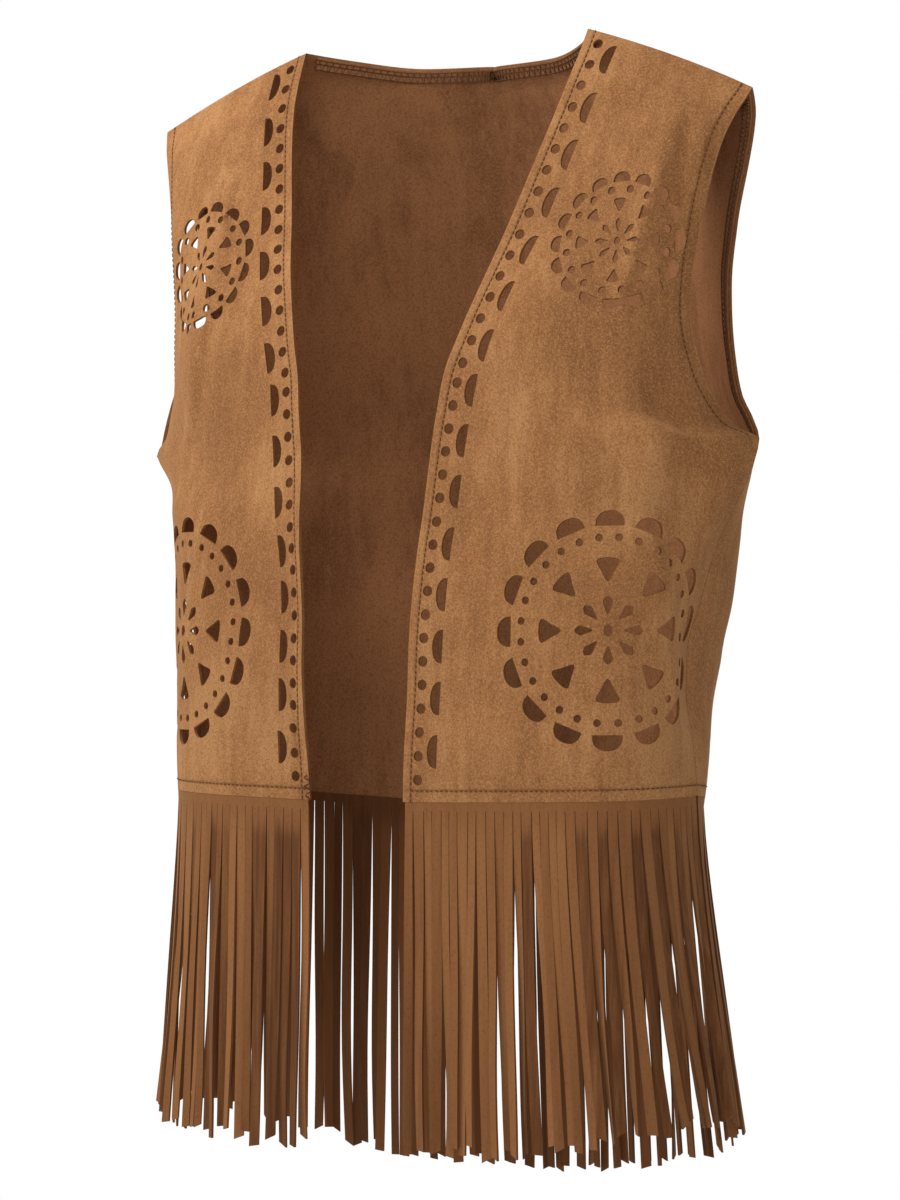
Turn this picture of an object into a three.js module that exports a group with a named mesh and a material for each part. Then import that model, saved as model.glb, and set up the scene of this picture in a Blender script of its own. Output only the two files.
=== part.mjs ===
// Open suede vest with cutwork fronts and a fringed hem.
// Millimetres. +Z up, the front faces -Y, the wearer's left is +X.
// The origin lies midway between the two points where the shoulder seams meet the neck.
import * as THREE from 'three';

const WALL = 1.5; // cloth thickness
const SEAM_GAP = 0.3; // space between two sewn pieces
const GRID = 19; // spacing of the points inside a panel
const EDGE_STEP = 14; // spacing of the points along a panel's outline
const FLIP_REACH = 13; // how far a turned-out front edge reaches into the panel

const SUEDE = { colour: 0xb07a4a, roughness: 0.92, metalness: 0 };
const FRINGE = { colour: 0x8f6239, roughness: 0.95, metalness: 0 };

const DOT_INSET = 9.2; // front edge to the middle of the edge dots
const DOT_COUNT = 34;
const DOT_RADIUS = 2.9;
const MOON_INSET = 21; // front edge to the straight side of the half-moons
const MOON_COUNT = 15;
const MOON_LENGTH = 18;
const MOON_DEPTH = 6.4;

// Rosettes of cut openings. h, u: place of the middle; rings from the outside in.
const SMALL_ROSETTE = { moons: [16, 35.5, 10, 5.8], dots: [[16, 28.6, 2.3]], wedges: [8, 19.8, 7.4, 7.4] };
const LARGE_ROSETTE = {
  moons: [16, 58.8, 16, 8.4], dots: [[28, 48.6, 2.2]], wedges: [8, 31.5, 12.6, 12.6],
  petals: [8, 13, 10, 5.4], centre: [2.6, 3.4],
};

// One row is one section across half a panel, hem to shoulder.
// h: height along the panel; e: inner edge point; s: side point; eTurn, sTurn: heading in degrees
// at the two ends; ePull, sPull: handle length over the chord; arch: rise of the middle;
// flip: how far the inner edge turns out to the front.
const COLUMNS = 'h ex ey ez sx sy sz eTurn sTurn ePull sPull arch flip'.split(' ');
const LEFT_FRONT = [
  [0, 31, -82, -415, 171, -13, -411, 3, 100, 0.62, 0.55, 0, 0],
  [32, 33, -83, -383, 168, -13, -380, 3, 106, 0.64, 0.58, 0, 0],
  [55, 34, -82.7, -360, 163.9, -13, -357, 3, 110, 0.64, 0.58, 0, 0],
  [78, 34.7, -82.2, -337, 164.2, -12, -334, 3, 110, 0.6, 0.56, 0, 0],
  [105, 36, -81, -312, 171.6, -10.5, -308, 4, 106, 0.55, 0.52, 0, 0],
  [135, 38, -79, -281, 180.2, -8, -279, 4, 100, 0.5, 0.48, 0, 0],
  [155, 40, -77, -261, 188.5, -5, -260, 5, 95, 0.46, 0.44, 0, 0],
  [175, 41.7, -75, -241, 197, -2, -241, 5, 90, 0.44, 0.42, 0, 0],
  [193, 43.5, -73.5, -222, 200.4, 1.5, -223.5, 6, 85, 0.42, 0.4, 0, 0],
  [208, 46, -72, -204, 189, -2, -217, 7, 80, 0.38, 0.4, 0, 0],
  [222, 48.5, -69.5, -187, 182, -8, -206, 7, 76, 0.36, 0.38, 0, 0],
  [245, 54.5, -65, -168, 175, -14, -187, 7, 74, 0.34, 0.36, 0, 0],
  [280, 65, -53.5, -133, 171, -19.5, -155, 8, 68, 0.33, 0.36, 0, 0],
  [325, 75, -40, -98, 176, -16, -110, 8, 60, 0.33, 0.33, 0, 0],
  [370, 85.1, -24.3, -55, 184.5, -9.5, -68, 6, 40, 0.33, 0.33, 0.5, 0],
  [395, 91, -14.5, -29, 191, -3.5, -50, 3, 20, 0.33, 0.33, 1.5, 0],
  [408, 93.8, -5, -10, 194.5, 1, -42, 0, 5, 0.33, 0.33, 2, 0],
  [415, 94.5, 0, 0, 196, 3, -38, 0, 0, 0.33, 0.33, 2.2, 0],
];
const RIGHT_FRONT = [
  [0, 31, -82, -415, 164.6, -10, -411, -2, 80, 0.4, 0.42, 0, 0],
  [32, 31, -83, -383, 162.8, -10, -380, 0, 85, 0.4, 0.42, 0, 3],
  [55, 29, -83.5, -360, 163, -10, -357, 0, 85, 0.4, 0.42, 0, 7],
  [78, 28.5, -83.5, -337, 164.2, -9, -334, 0, 85, 0.4, 0.42, 0, 9],
  [105, 29.5, -82, -312, 165.2, -9, -308, 2, 85, 0.4, 0.42, 0, 9],
  [135, 32, -80, -281, 167.4, -8, -279, 3, 85, 0.38, 0.42, 0, 8],
  [155, 36, -78, -261, 172, -5, -260, 4, 82, 0.38, 0.41, 0, 5],
  [175, 40, -75.5, -241, 184, -2, -241, 5, 65, 0.38, 0.36, 0, 2],
  [193, 43.5, -73.5, -222, 200.4, 1.5, -223.5, 6, 56, 0.38, 0.32, 0, 0],
  [208, 46, -72, -204, 189, -2, -217, 7, 66, 0.36, 0.33, 0, 0],
  [222, 48.5, -69.5, -187, 181, -8, -206, 7, 70, 0.36, 0.34, 0, 0],
  [245, 54.5, -65, -168, 174, -14, -187, 7, 72, 0.34, 0.35, 0, 0],
  [280, 65, -53.5, -133, 171, -19.5, -155, 8, 68, 0.33, 0.36, 0, 0],
  [325, 75, -40, -98, 176, -16, -110, 8, 60, 0.33, 0.33, 0, 0],
  [370, 85.1, -24.3, -55, 184.5, -9.5, -68, 6, 40, 0.33, 0.33, 0.5, 0],
  [395, 91, -14.5, -29, 191, -3.5, -50, 3, 20, 0.33, 0.33, 1.5, 0],
  [408, 93.8, -5, -10, 194.5, 1, -42, 0, 5, 0.33, 0.33, 2, 0],
  [415, 94.5, 0, 0, 196, 3, -38, 0, 0, 0.33, 0.33, 2.2, 0],
];
// The inner edge of a back half is the centre line, then the neck edge.
const LEFT_BACK = [
  [0, 0, 70, -423, 171, -13, -411, 0, -75, 0.42, 0.36, 0, 0],
  [32, 0, 72, -388, 168, -13, -380, 0, -85, 0.43, 0.4, 0, 0],
  [55, 0, 74, -364, 163.9, -13, -357, 0, -95, 0.44, 0.43, 0, 0],
  [78, 0, 76, -340, 164.2, -12, -334, 0, -98, 0.44, 0.45, 0, 0],
  [105, 0, 80, -312, 171.6, -10.5, -308, 0, -96, 0.43, 0.42, 0, 0],
  [135, 0, 85, -281, 180.2, -8, -279, 0, -90, 0.42, 0.38, 0, 0],
  [155, 0, 88, -260, 188.5, -5, -260, 0, -78, 0.41, 0.34, 0, 0],
  [175, 0, 91, -238, 197, -2, -241, 0, -65, 0.4, 0.32, 0, 0],
  [193, 0, 93, -218, 200.4, 1.5, -223.5, 0, -56, 0.4, 0.32, 0, 0],
  [208, 0, 94, -199, 196, 2.5, -212, 0, -50, 0.4, 0.34, 0, 0],
  [222, 0, 94.5, -181, 189, 3.5, -200, 0, -46, 0.4, 0.34, 0, 0],
  [245, 0, 94, -157, 182, 7, -175, 0, -42, 0.38, 0.34, 0, 0],
  [280, 0, 91, -122, 175, 15.5, -142, 0, -34, 0.38, 0.34, 0, 0],
  [325, 0, 82, -78, 179.5, 14.5, -107, 0, -26, 0.36, 0.34, 0, 0],
  [360, 0, 68, -42, 189, 11.5, -73, 0, -20, 0.34, 0.33, 0, 0],
  [382, 0, 54, -18, 194, 8.5, -56, 0, -15, 0.33, 0.33, 0.4, 0],
  [391, 0, 49, -9, 195.4, 7, -49, 0, -12, 0.33, 0.33, 0.8, 0],
  [400, 44, 41, -7.9, 195.8, 5.4, -44, 0, -8, 0.33, 0.33, 1.5, 0],
  [408, 76, 22, -3.6, 196, 4, -40.5, 0, -4, 0.33, 0.33, 2, 0],
  [415, 94.5, 0, 0, 196, 3, -38, 0, 0, 0.33, 0.33, 2.2, 0],
];
const RIGHT_BACK = [
  [0, 0, 70, -423, 164.6, -10, -411, 0, -80, 0.43, 0.4, 0, 0],
  [32, 0, 72, -388, 162.8, -10, -380, 0, -85, 0.43, 0.4, 0, 0],
  [55, 0, 74, -364, 163, -10, -357, 0, -88, 0.43, 0.4, 0, 0],
  [78, 0, 76, -340, 164.2, -9, -334, 0, -88, 0.43, 0.4, 0, 0],
  [105, 0, 80, -312, 165.2, -9, -308, 0, -88, 0.43, 0.4, 0, 0],
  [135, 0, 85, -281, 167.4, -8, -279, 0, -88, 0.42, 0.4, 0, 0],
  [155, 0, 88, -260, 172, -5, -260, 0, -80, 0.41, 0.37, 0, 0],
  [175, 0, 91, -238, 184, -2, -241, 0, -66, 0.4, 0.33, 0, 0],
  [193, 0, 93, -218, 200.4, 1.5, -223.5, 0, -56, 0.4, 0.32, 0, 0],
  [208, 0, 94, -199, 198.5, 2.4, -212, 0, -52, 0.4, 0.34, 0, 0],
  [222, 0, 94.5, -181, 195, 2.4, -200, 0, -48, 0.4, 0.34, 0, 0],
  [245, 0, 94, -157, 187, 5, -175, 0, -42, 0.38, 0.34, 0, 0],
  [280, 0, 91, -122, 176, 14, -142, 0, -34, 0.38, 0.34, 0, 0],
  [325, 0, 82, -78, 179.5, 14.5, -107, 0, -26, 0.36, 0.34, 0, 0],
  [360, 0, 68, -42, 189, 11.5, -73, 0, -20, 0.34, 0.33, 0, 0],
  [382, 0, 54, -18, 194, 8.5, -56, 0, -15, 0.33, 0.33, 0.4, 0],
  [391, 0, 49, -9, 195.4, 7, -49, 0, -12, 0.33, 0.33, 0.8, 0],
  [400, 44, 41, -7.9, 195.8, 5.4, -44, 0, -8, 0.33, 0.33, 1.5, 0],
  [408, 76, 22, -3.6, 196, 4, -40.5, 0, -4, 0.33, 0.33, 2, 0],
  [415, 94.5, 0, 0, 196, 3, -38, 0, 0, 0.33, 0.33, 2.2, 0],
];
const SIDE_TOP = 193; // h at which the side seam ends and the armhole starts
const NECK_FOOT = 391; // h at which the centre back ends and the neck starts
const TOP = 415;

// Soft folds, each a ridge (height above 0) or trough along a straight run in u and h.
const FOLDS = {
  left_front: [
    { u0: 0.78, h0: 395, u1: 0.9, h1: 290, reach: 9, height: -3.2 },
    { u0: 0.77, h0: 245, u1: 0.8, h1: 130, reach: 11, height: -4 },
    { u0: 0.12, h0: 258, u1: 0.85, h1: 258, reach: 42, height: 4.5 },
    { u0: 0.64, h0: 150, u1: 0.93, h1: 38, reach: 9, height: 3 },
  ],
  right_front: [
    { u0: 0.42, h0: 380, u1: 0.62, h1: 210, reach: 12, height: 3 },
    { u0: 0.82, h0: 330, u1: 0.8, h1: 220, reach: 12, height: -2.5 },
    { u0: 0.12, h0: 258, u1: 0.6, h1: 258, reach: 42, height: 3.5 },
  ],
  back: [
    { u0: -0.4, h0: 330, u1: -0.45, h1: 60, reach: 16, height: 3 },
    { u0: 0.12, h0: 300, u1: 0.08, h1: 40, reach: 18, height: -3 },
    { u0: 0.55, h0: 250, u1: 0.5, h1: 30, reach: 15, height: 3 },
  ],
};

const FRINGE_RUNS = {
  right_front: { count: 31, tip: -601, sideRise: 18, tipSpread: 9 },
  left_front: { count: 32, tip: -600, sideRise: 18, tipSpread: 9 },
  back: { count: 66, tip: -622, sideRise: 37, tipSpread: 8 },
};
const STRIP_HEIGHT = 9; // narrow backing band that joins the strand roots
const STRAND_FILL = 0.74; // strand width over strand pitch
const STRAND_WALL = 1.3;
const FLARE = 15; // how far the strand tips stand out from the hem at the sides

const rad = (d) => (d * Math.PI) / 180;
const lerp = (a, b, t) => a + (b - a) * t;

// Repeatable value from -1 to 1.
function jitter(i, k) {
  const x = Math.sin(i * 12.9898 + k * 78.233) * 43758.5453;
  return 2 * (x - Math.floor(x)) - 1;
}

// Shape-keeping cubic through the rows of a table, column by column.
function rowCurve(rows) {
  const n = rows.length;
  const slopes = COLUMNS.map((_, c) => {
    const step = [];
    const rise = [];
    for (let i = 0; i < n - 1; i++) {
      step.push(rows[i + 1][0] - rows[i][0]);
      rise.push((rows[i + 1][c] - rows[i][c]) / step[i]);
    }
    const m = [];
    for (let i = 1; i < n - 1; i++) {
      if (rise[i - 1] * rise[i] <= 0) {
        m[i] = 0;
      } else {
        const w1 = 2 * step[i] + step[i - 1];
        const w2 = step[i] + 2 * step[i - 1];
        m[i] = (w1 + w2) / (w1 / rise[i - 1] + w2 / rise[i]);
      }
    }
    m[0] = endSlope(step[0], step[1], rise[0], rise[1]);
    m[n - 1] = endSlope(step[n - 2], step[n - 3], rise[n - 2], rise[n - 3]);
    return m;
  });
  return (h) => {
    let i = 0;
    while (i < n - 2 && h > rows[i + 1][0]) {
      i++;
    }
    const d = rows[i + 1][0] - rows[i][0];
    const t = (h - rows[i][0]) / d;
    const a = (1 + 2 * t) * (1 - t) * (1 - t);
    const b = t * (1 - t) * (1 - t) * d;
    const c = t * t * (3 - 2 * t);
    const e = t * t * (t - 1) * d;
    const row = {};
    COLUMNS.forEach((name, k) => {
      row[name] = a * rows[i][k] + b * slopes[k][i] + c * rows[i + 1][k] + e * slopes[k][i + 1];
    });
    return row;
  };
}

function endSlope(d0, d1, r0, r1) {
  const m = ((2 * d0 + d1) * r0 - d0 * r1) / (d0 + d1);
  if (m * r0 <= 0) {
    return 0;
  }
  return r0 * r1 <= 0 && Math.abs(m) > 3 * Math.abs(r0) ? 3 * r0 : m;
}

// Half panel as a surface: u from 0 at the inner edge to 1 at the side, h from hem to shoulder.
function halfPanel(rows, side) {
  const curve = rowCurve(rows);
  return (u, h) => {
    const r = curve(h);
    const chord = Math.hypot(r.sx - r.ex, r.sy - r.ey);
    const e = rad(r.eTurn);
    const s = rad(r.sTurn);
    const x = [r.ex, r.ex + Math.cos(e) * chord * r.ePull, r.sx - Math.cos(s) * chord * r.sPull, r.sx];
    const y = [r.ey, r.ey + Math.sin(e) * chord * r.ePull, r.sy - Math.sin(s) * chord * r.sPull, r.sy];
    const v = 1 - u;
    const w = [v * v * v, 3 * u * v * v, 3 * u * u * v, u * u * u];
    let px = 0;
    let py = 0;
    for (let k = 0; k < 4; k++) {
      px += w[k] * x[k];
      py += w[k] * y[k];
    }
    py -= r.flip * Math.exp((-u * chord * 1.1) / FLIP_REACH);
    const pz = lerp(r.ez, r.sz, u) + r.arch * 4 * u * v;
    return new THREE.Vector3(px * side, py, pz);
  };
}

function foldHeight(folds, u, h) {
  let sum = 0;
  for (const f of folds) {
    const dx = (f.u1 - f.u0) * 150;
    const dy = f.h1 - f.h0;
    const length2 = dx * dx + dy * dy;
    const px = (u - f.u0) * 150;
    const py = h - f.h0;
    const along = (px * dx + py * dy) / length2;
    const across = (px * dy - py * dx) / Math.sqrt(length2);
    const fade = Math.exp(-Math.pow(Math.max(0, Math.abs(along - 0.5) - 0.3) / 0.16, 2));
    sum += f.height * fade * Math.exp(-Math.pow(across / f.reach, 2));
  }
  return sum;
}

function normalOf(surface, u, h, outward) {
  const d = 0.004;
  const e = 0.6;
  const side = u < 0 ? -1 : 1;
  const reach = Math.abs(u);
  const a = surface(side * (reach + d), h).sub(surface(side * Math.max(reach - d, 1e-6), h));
  const b = surface(u, Math.min(h + e, TOP)).sub(surface(u, Math.max(h - e, 0)));
  const n = a.cross(b).normalize();
  return n.dot(outward) < 0 ? n.negate() : n;
}

// The three panels. Folds fade out at the sewn and free edges.
function outwardAt(p) {
  return new THREE.Vector3(p.x * 0.6, p.y, Math.max(0, p.z + 60));
}

function withFolds(base, folds) {
  return (u, h) => {
    const p = base(u, h);
    const edge = Math.min(1, (1 - Math.abs(u)) / 0.12) * Math.min(1, (TOP - h) / 40);
    const rise = foldHeight(folds, u, h) * Math.max(0, edge);
    if (Math.abs(rise) < 1e-4) {
      return p;
    }
    return p.addScaledVector(normalOf(base, u, h, outwardAt(p)), rise);
  };
}

const leftFrontBase = halfPanel(LEFT_FRONT, 1);
const rightFrontBase = halfPanel(RIGHT_FRONT, -1);
const leftBackHalf = halfPanel(LEFT_BACK, 1);
const rightBackHalf = halfPanel(RIGHT_BACK, -1);
const backBase = (u, h) => (u >= 0 ? leftBackHalf(u, h) : rightBackHalf(-u, h));
const SURFACES = {
  left_front: withFolds(leftFrontBase, FOLDS.left_front),
  right_front: withFolds(rightFrontBase, FOLDS.right_front),
  back: withFolds(backBase, FOLDS.back),
};

function normalAt(name, u, h) {
  const surface = SURFACES[name];
  const p = surface(u, h);
  const own = normalOf(surface, u, h, outwardAt(p));
  const onSide = Math.abs(Math.abs(u) - 1) < 0.02 && h <= SIDE_TOP;
  const onShoulder = h > TOP - 1;
  if (!onSide && !onShoulder) {
    return own;
  }
  const mates = { left_front: 'back', right_front: 'back' };
  const mate = mates[name] ?? (u >= 0 ? 'left_front' : 'right_front');
  const reach = Math.max(Math.abs(u), 1e-6);
  const mateU = name === 'right_front' ? -reach : reach;
  return own.add(normalOf(SURFACES[mate], mateU, h, outwardAt(p))).normalize();
}

// Walk over the surface from u, h by a distance in a given direction.
function walk(surface, u, h, direction, distance) {
  const steps = Math.max(1, Math.ceil(distance / 5));
  const step = distance / steps;
  const dir = direction.clone();
  for (let i = 0; i < steps; i++) {
    const d = 0.003;
    const e = 0.5;
    const su = surface(u + d, h).sub(surface(u - d, h)).multiplyScalar(1 / (2 * d));
    const sh = surface(u, h + e).sub(surface(u, h - e)).multiplyScalar(1 / (2 * e));
    const n = su.clone().cross(sh).normalize();
    dir.addScaledVector(n, -dir.dot(n)).normalize();
    const uu = su.dot(su);
    const uh = su.dot(sh);
    const hh = sh.dot(sh);
    const bu = dir.dot(su);
    const bh = dir.dot(sh);
    const det = uu * hh - uh * uh;
    u += (step * (bu * hh - bh * uh)) / det;
    h += (step * (bh * uu - bu * uh)) / det;
  }
  return [u, h];
}

// A point at local offset (across, up) from u, h. "Up" follows the given 3D direction.
function offsetPoint(surface, u, h, up, across, along) {
  const d = 0.003;
  const e = 0.5;
  const su = surface(u + d, h).sub(surface(u - d, h));
  const sh = surface(u, h + e).sub(surface(u, h - e));
  const n = su.clone().cross(sh).normalize();
  const upFlat = up.clone().addScaledVector(n, -up.dot(n)).normalize();
  const out = upFlat.clone().cross(n).normalize();
  if (out.dot(su) < 0) {
    out.negate();
  }
  const direction = out.multiplyScalar(across).addScaledVector(upFlat, along);
  const distance = direction.length();
  return distance < 1e-6 ? [u, h] : walk(surface, u, h, direction, distance);
}

// Flat outlines of the openings, as [across, along] points.
function disc(radius, sides, cx = 0, cy = 0) {
  const out = [];
  for (let i = 0; i < sides; i++) {
    const a = (2 * Math.PI * (i + 0.5)) / sides;
    out.push([cx + radius * Math.cos(a), cy + radius * Math.sin(a)]);
  }
  return out;
}

// Half-moon: straight side on the "along" axis, bulge towards -across.
function halfMoon(length, depth, arcs = 5) {
  const out = [];
  for (let i = 0; i <= arcs; i++) {
    const a = (Math.PI * i) / arcs;
    out.push([-depth * Math.pow(Math.sin(a), 0.75), (-length / 2) * Math.cos(a)]);
  }
  return out;
}

// Shapes of a rosette, in polar frames: r0 is the distance of the shape's middle from the centre.
function turned(shape, radius, angle) {
  const c = Math.cos(angle);
  const s = Math.sin(angle);
  return shape.map(([t, r]) => [(radius + r) * c - t * s, (radius + r) * s + t * c]);
}
const moonPiece = (w, d) => [[-w / 2, -d / 2], [w / 2, -d / 2], [w * 0.42, d * 0.22],
  [w * 0.16, d / 2], [-w * 0.16, d / 2], [-w * 0.42, d * 0.22]];
const wedgePiece = (w, d) => [[-w * 0.1, -d / 2], [w * 0.1, -d / 2], [w / 2, d * 0.3],
  [w * 0.34, d / 2], [-w * 0.34, d / 2], [-w / 2, d * 0.3]];
const petalPiece = (l, w) => [[0, -l / 2], [w * 0.36, -l * 0.1], [w / 2, l * 0.22],
  [w * 0.2, l / 2], [-w * 0.2, l / 2], [-w / 2, l * 0.22], [-w * 0.36, -l * 0.1]];

function rosette(spec) {
  const shapes = [];
  const ring = (count, radius, shape, shift) => {
    for (let i = 0; i < count; i++) {
      shapes.push(turned(shape, radius, (2 * Math.PI * (i + shift)) / count + Math.PI / 2));
    }
  };
  ring(spec.moons[0], spec.moons[1], moonPiece(spec.moons[2], spec.moons[3]), 0);
  spec.dots.forEach(([count, radius, size]) => ring(count, radius, disc(size, 6), 0.5));
  ring(spec.wedges[0], spec.wedges[1], wedgePiece(spec.wedges[2], spec.wedges[3]), 0);
  if (spec.petals) {
    ring(spec.petals[0], spec.petals[1], petalPiece(spec.petals[2], spec.petals[3]), 0);
  }
  if (spec.centre) {
    shapes.push(disc(1, 6).map(([x, y]) => [x * spec.centre[0], y * spec.centre[1]]));
  }
  return shapes;
}

const ROSETTES = {
  left_front: [[SMALL_ROSETTE, 0.585, 310], [LARGE_ROSETTE, 0.57, 90]],
  right_front: [[SMALL_ROSETTE, 0.54, 306], [LARGE_ROSETTE, 0.59, 90]],
};

// Every opening of one front, as loops of [u, h].
function openings(name) {
  const surface = SURFACES[name];
  const loops = [];
  const place = (shapes, u, h, up) => {
    for (const shape of shapes) {
      loops.push(shape.map(([a, b]) => offsetPoint(surface, u, h, up, a, b)));
    }
  };
  for (const [spec, u, h] of ROSETTES[name]) {
    place(rosette(spec), u, h, new THREE.Vector3(0, 0, 1));
  }
  const edge = edgeLengths(surface);
  const total = edge[edge.length - 1][1];
  for (let i = 0; i < DOT_COUNT; i++) {
    const h = heightAt(edge, total - 8.5 - (i * (total - 21)) / (DOT_COUNT - 1));
    const up = surface(0, Math.min(TOP, h + 1)).sub(surface(0, h - 1)).normalize();
    const [u, hh] = offsetPoint(surface, 0, h, up, DOT_INSET, 0);
    place([disc(DOT_RADIUS, 7)], u, hh, up);
  }
  for (let i = 0; i < MOON_COUNT; i++) {
    const h = heightAt(edge, total - 17 - (i * (total - 45)) / (MOON_COUNT - 1));
    const up = surface(0, h + 1).sub(surface(0, h - 1)).normalize();
    const [u, hh] = offsetPoint(surface, 0, h, up, MOON_INSET, 0);
    place([halfMoon(MOON_LENGTH, MOON_DEPTH)], u, hh, up);
  }
  return loops;
}

function edgeLengths(surface) {
  const out = [[0, 0]];
  let last = surface(0, 0);
  for (let h = 2.5; h <= TOP; h += 2.5) {
    const p = surface(0, h);
    out.push([h, out[out.length - 1][1] + p.distanceTo(last)]);
    last = p;
  }
  return out;
}

function heightAt(edge, length) {
  let i = 1;
  while (i < edge.length - 1 && edge[i][1] < length) {
    i++;
  }
  const t = (length - edge[i - 1][1]) / (edge[i][1] - edge[i - 1][1]);
  return lerp(edge[i - 1][0], edge[i][0], t);
}

// Flat map of a panel used for its triangles: distance across the section, height along it.
function flatMap(name) {
  const surface = SURFACES[name];
  const tables = [1, -1].map((sign) => {
    const rows = [];
    for (let h = 0; h <= TOP; h += 5) {
      const start = surface(sign * 1e-6, h);
      const row = [name === 'back' ? Math.abs(start.x) : 0];
      let last = start;
      for (let k = 1; k <= 24; k++) {
        const p = surface((sign * k) / 24, h);
        row.push(row[k - 1] + p.distanceTo(last));
        last = p;
      }
      rows.push(row);
    }
    return rows;
  });
  const flat = (u, h) => {
    const rows = tables[u < 0 ? 1 : 0];
    const a = Math.min(TOP, Math.max(0, h)) / 5;
    const i = Math.min(rows.length - 2, Math.floor(a));
    const b = Math.min(24, Math.abs(u) * 24);
    const k = Math.min(23, Math.floor(b));
    const at = (r) => lerp(rows[r][k], rows[r][k + 1], b - k);
    // A hair of outward bulge keeps straight runs of the outline from being merged.
    const x = lerp(at(i), at(i + 1), a - i) - (name === 'back' ? 0 : 1e-6 * h * (TOP - h));
    const y = h + 1e-6 * (h / TOP - 0.5) * (62500 - x * x);
    return new THREE.Vector2((u < 0 ? -1 : 1) * x, y);
  };
  const back = (x, h) => {
    const sign = x < 0 ? -1 : 1;
    let low = 0;
    let high = 1;
    for (let k = 0; k < 30; k++) {
      const mid = (low + high) / 2;
      if (flat(sign * Math.max(mid, 1e-9), h).x * sign < Math.abs(x)) {
        low = mid;
      } else {
        high = mid;
      }
    }
    return sign * low;
  };
  return { flat, back };
}

function steps(from, to, spacing) {
  const n = Math.max(1, Math.round(Math.abs(to - from) / spacing));
  return Array.from({ length: n + 1 }, (_, i) => lerp(from, to, i / n));
}

// Outline of a panel as [u, h], anticlockwise from the hem. Both panels of a seam share its steps.
const SIDE_HEIGHTS = steps(0, SIDE_TOP, EDGE_STEP);
const ARM_HEIGHTS = [197, 202, 208, 215, 224, 236, 250, 265, 282, 300, 320, 340, 360, 380, 396, 408, TOP];
const NECK_HEIGHTS = [412, 408, 404, 400, 396.5, 393.8, 392];

function outline(name) {
  const side = [...SIDE_HEIGHTS.slice(1), ...ARM_HEIGHTS].map((h) => [1, h]);
  const shoulder = steps(1, 0, 0.125).slice(1).map((u) => [u, TOP]);
  if (name !== 'back') {
    const front = steps(TOP, 0, 15).slice(1, -1).map((h) => [0, h]);
    return [...steps(0, 1, 0.07).map((u) => [u, 0]), ...side, ...shoulder, ...front];
  }
  const half = [...side, ...shoulder, ...NECK_HEIGHTS.map((h) => [0, h])];
  const other = half.map(([u, h]) => [u === 0 ? -1e-6 : -u, h]).reverse();
  return [...steps(-1, 1, 0.07).map((u) => [u, 0]), ...half, [0, NECK_FOOT], ...other];
}

function inside(p, loop) {
  let odd = false;
  for (let i = 0, j = loop.length - 1; i < loop.length; j = i++) {
    const a = loop[i];
    const b = loop[j];
    if (a.y > p.y !== b.y > p.y && p.x < ((b.x - a.x) * (p.y - a.y)) / (b.y - a.y) + a.x) {
      odd = !odd;
    }
  }
  return odd;
}

function clearance(p, loop) {
  let best = Infinity;
  for (let i = 0, j = loop.length - 1; i < loop.length; j = i++) {
    const ab = loop[i].clone().sub(loop[j]);
    const t = Math.min(1, Math.max(0, p.clone().sub(loop[j]).dot(ab) / ab.lengthSq()));
    best = Math.min(best, p.distanceTo(loop[j].clone().addScaledVector(ab, t)));
  }
  return best;
}

// Swap the diagonals of triangle pairs until each pair is locally Delaunay; loop edges stay.
function evenOut(points, triangles, locked) {
  const key = (a, b) => (a < b ? a * 65536 + b : b * 65536 + a);
  for (let round = 0; round < 3000; round++) {
    const edges = new Map();
    triangles.forEach((t, ti) => {
      for (let k = 0; k < 3; k++) {
        const id = key(t[k], t[(k + 1) % 3]);
        edges.set(id, [...(edges.get(id) ?? []), [ti, k]]);
      }
    });
    const touched = new Set();
    let swaps = 0;
    for (const [id, uses] of edges) {
      if (uses.length !== 2 || locked.has(id)) {
        continue;
      }
      const [[ta, ka], [tb, kb]] = uses;
      if (touched.has(ta) || touched.has(tb)) {
        continue;
      }
      const a = triangles[ta][ka];
      const b = triangles[ta][(ka + 1) % 3];
      const c = triangles[ta][(ka + 2) % 3];
      const d = triangles[tb][(kb + 2) % 3];
      const angle = (o, p, q) => {
        const x = points[p].clone().sub(points[o]);
        const y = points[q].clone().sub(points[o]);
        return Math.abs(Math.atan2(x.cross(y), x.dot(y)));
      };
      if (angle(c, a, b) + angle(d, a, b) <= Math.PI + 1e-9) {
        continue;
      }
      const area = (p, q, r) => points[q].clone().sub(points[p]).cross(points[r].clone().sub(points[p]));
      const one = area(c, d, b);
      const two = area(c, a, d);
      if (one * two <= 0 || Math.min(Math.abs(one), Math.abs(two)) < 1e-4) {
        continue;
      }
      triangles[ta] = [c, a, d];
      triangles[tb] = [c, d, b];
      touched.add(ta);
      touched.add(tb);
      swaps++;
    }
    if (!swaps) {
      return;
    }
  }
}

// A closed wall from points on its middle surface, their normals and the triangles between them.
function thicken(points, normals, triangles, wall) {
  const n = points.length;
  const position = new Float32Array(n * 6);
  points.forEach((p, i) => {
    p.clone().addScaledVector(normals[i], wall / 2).toArray(position, i * 3);
    p.clone().addScaledVector(normals[i], -wall / 2).toArray(position, (n + i) * 3);
  });
  const index = [];
  const open = new Map();
  for (const [a, b, c] of triangles) {
    index.push(a, b, c, n + c, n + b, n + a);
    for (const [p, q] of [[a, b], [b, c], [c, a]]) {
      if (!open.delete(q * 65536 + p)) {
        open.set(p * 65536 + q, [p, q]);
      }
    }
  }
  for (const [p, q] of open.values()) {
    index.push(q, p, n + p, q, n + p, n + q);
  }
  const geometry = new THREE.BufferGeometry();
  geometry.setAttribute('position', new THREE.BufferAttribute(position, 3));
  geometry.setIndex(index);
  geometry.computeVertexNormals();
  return geometry;
}

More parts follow.
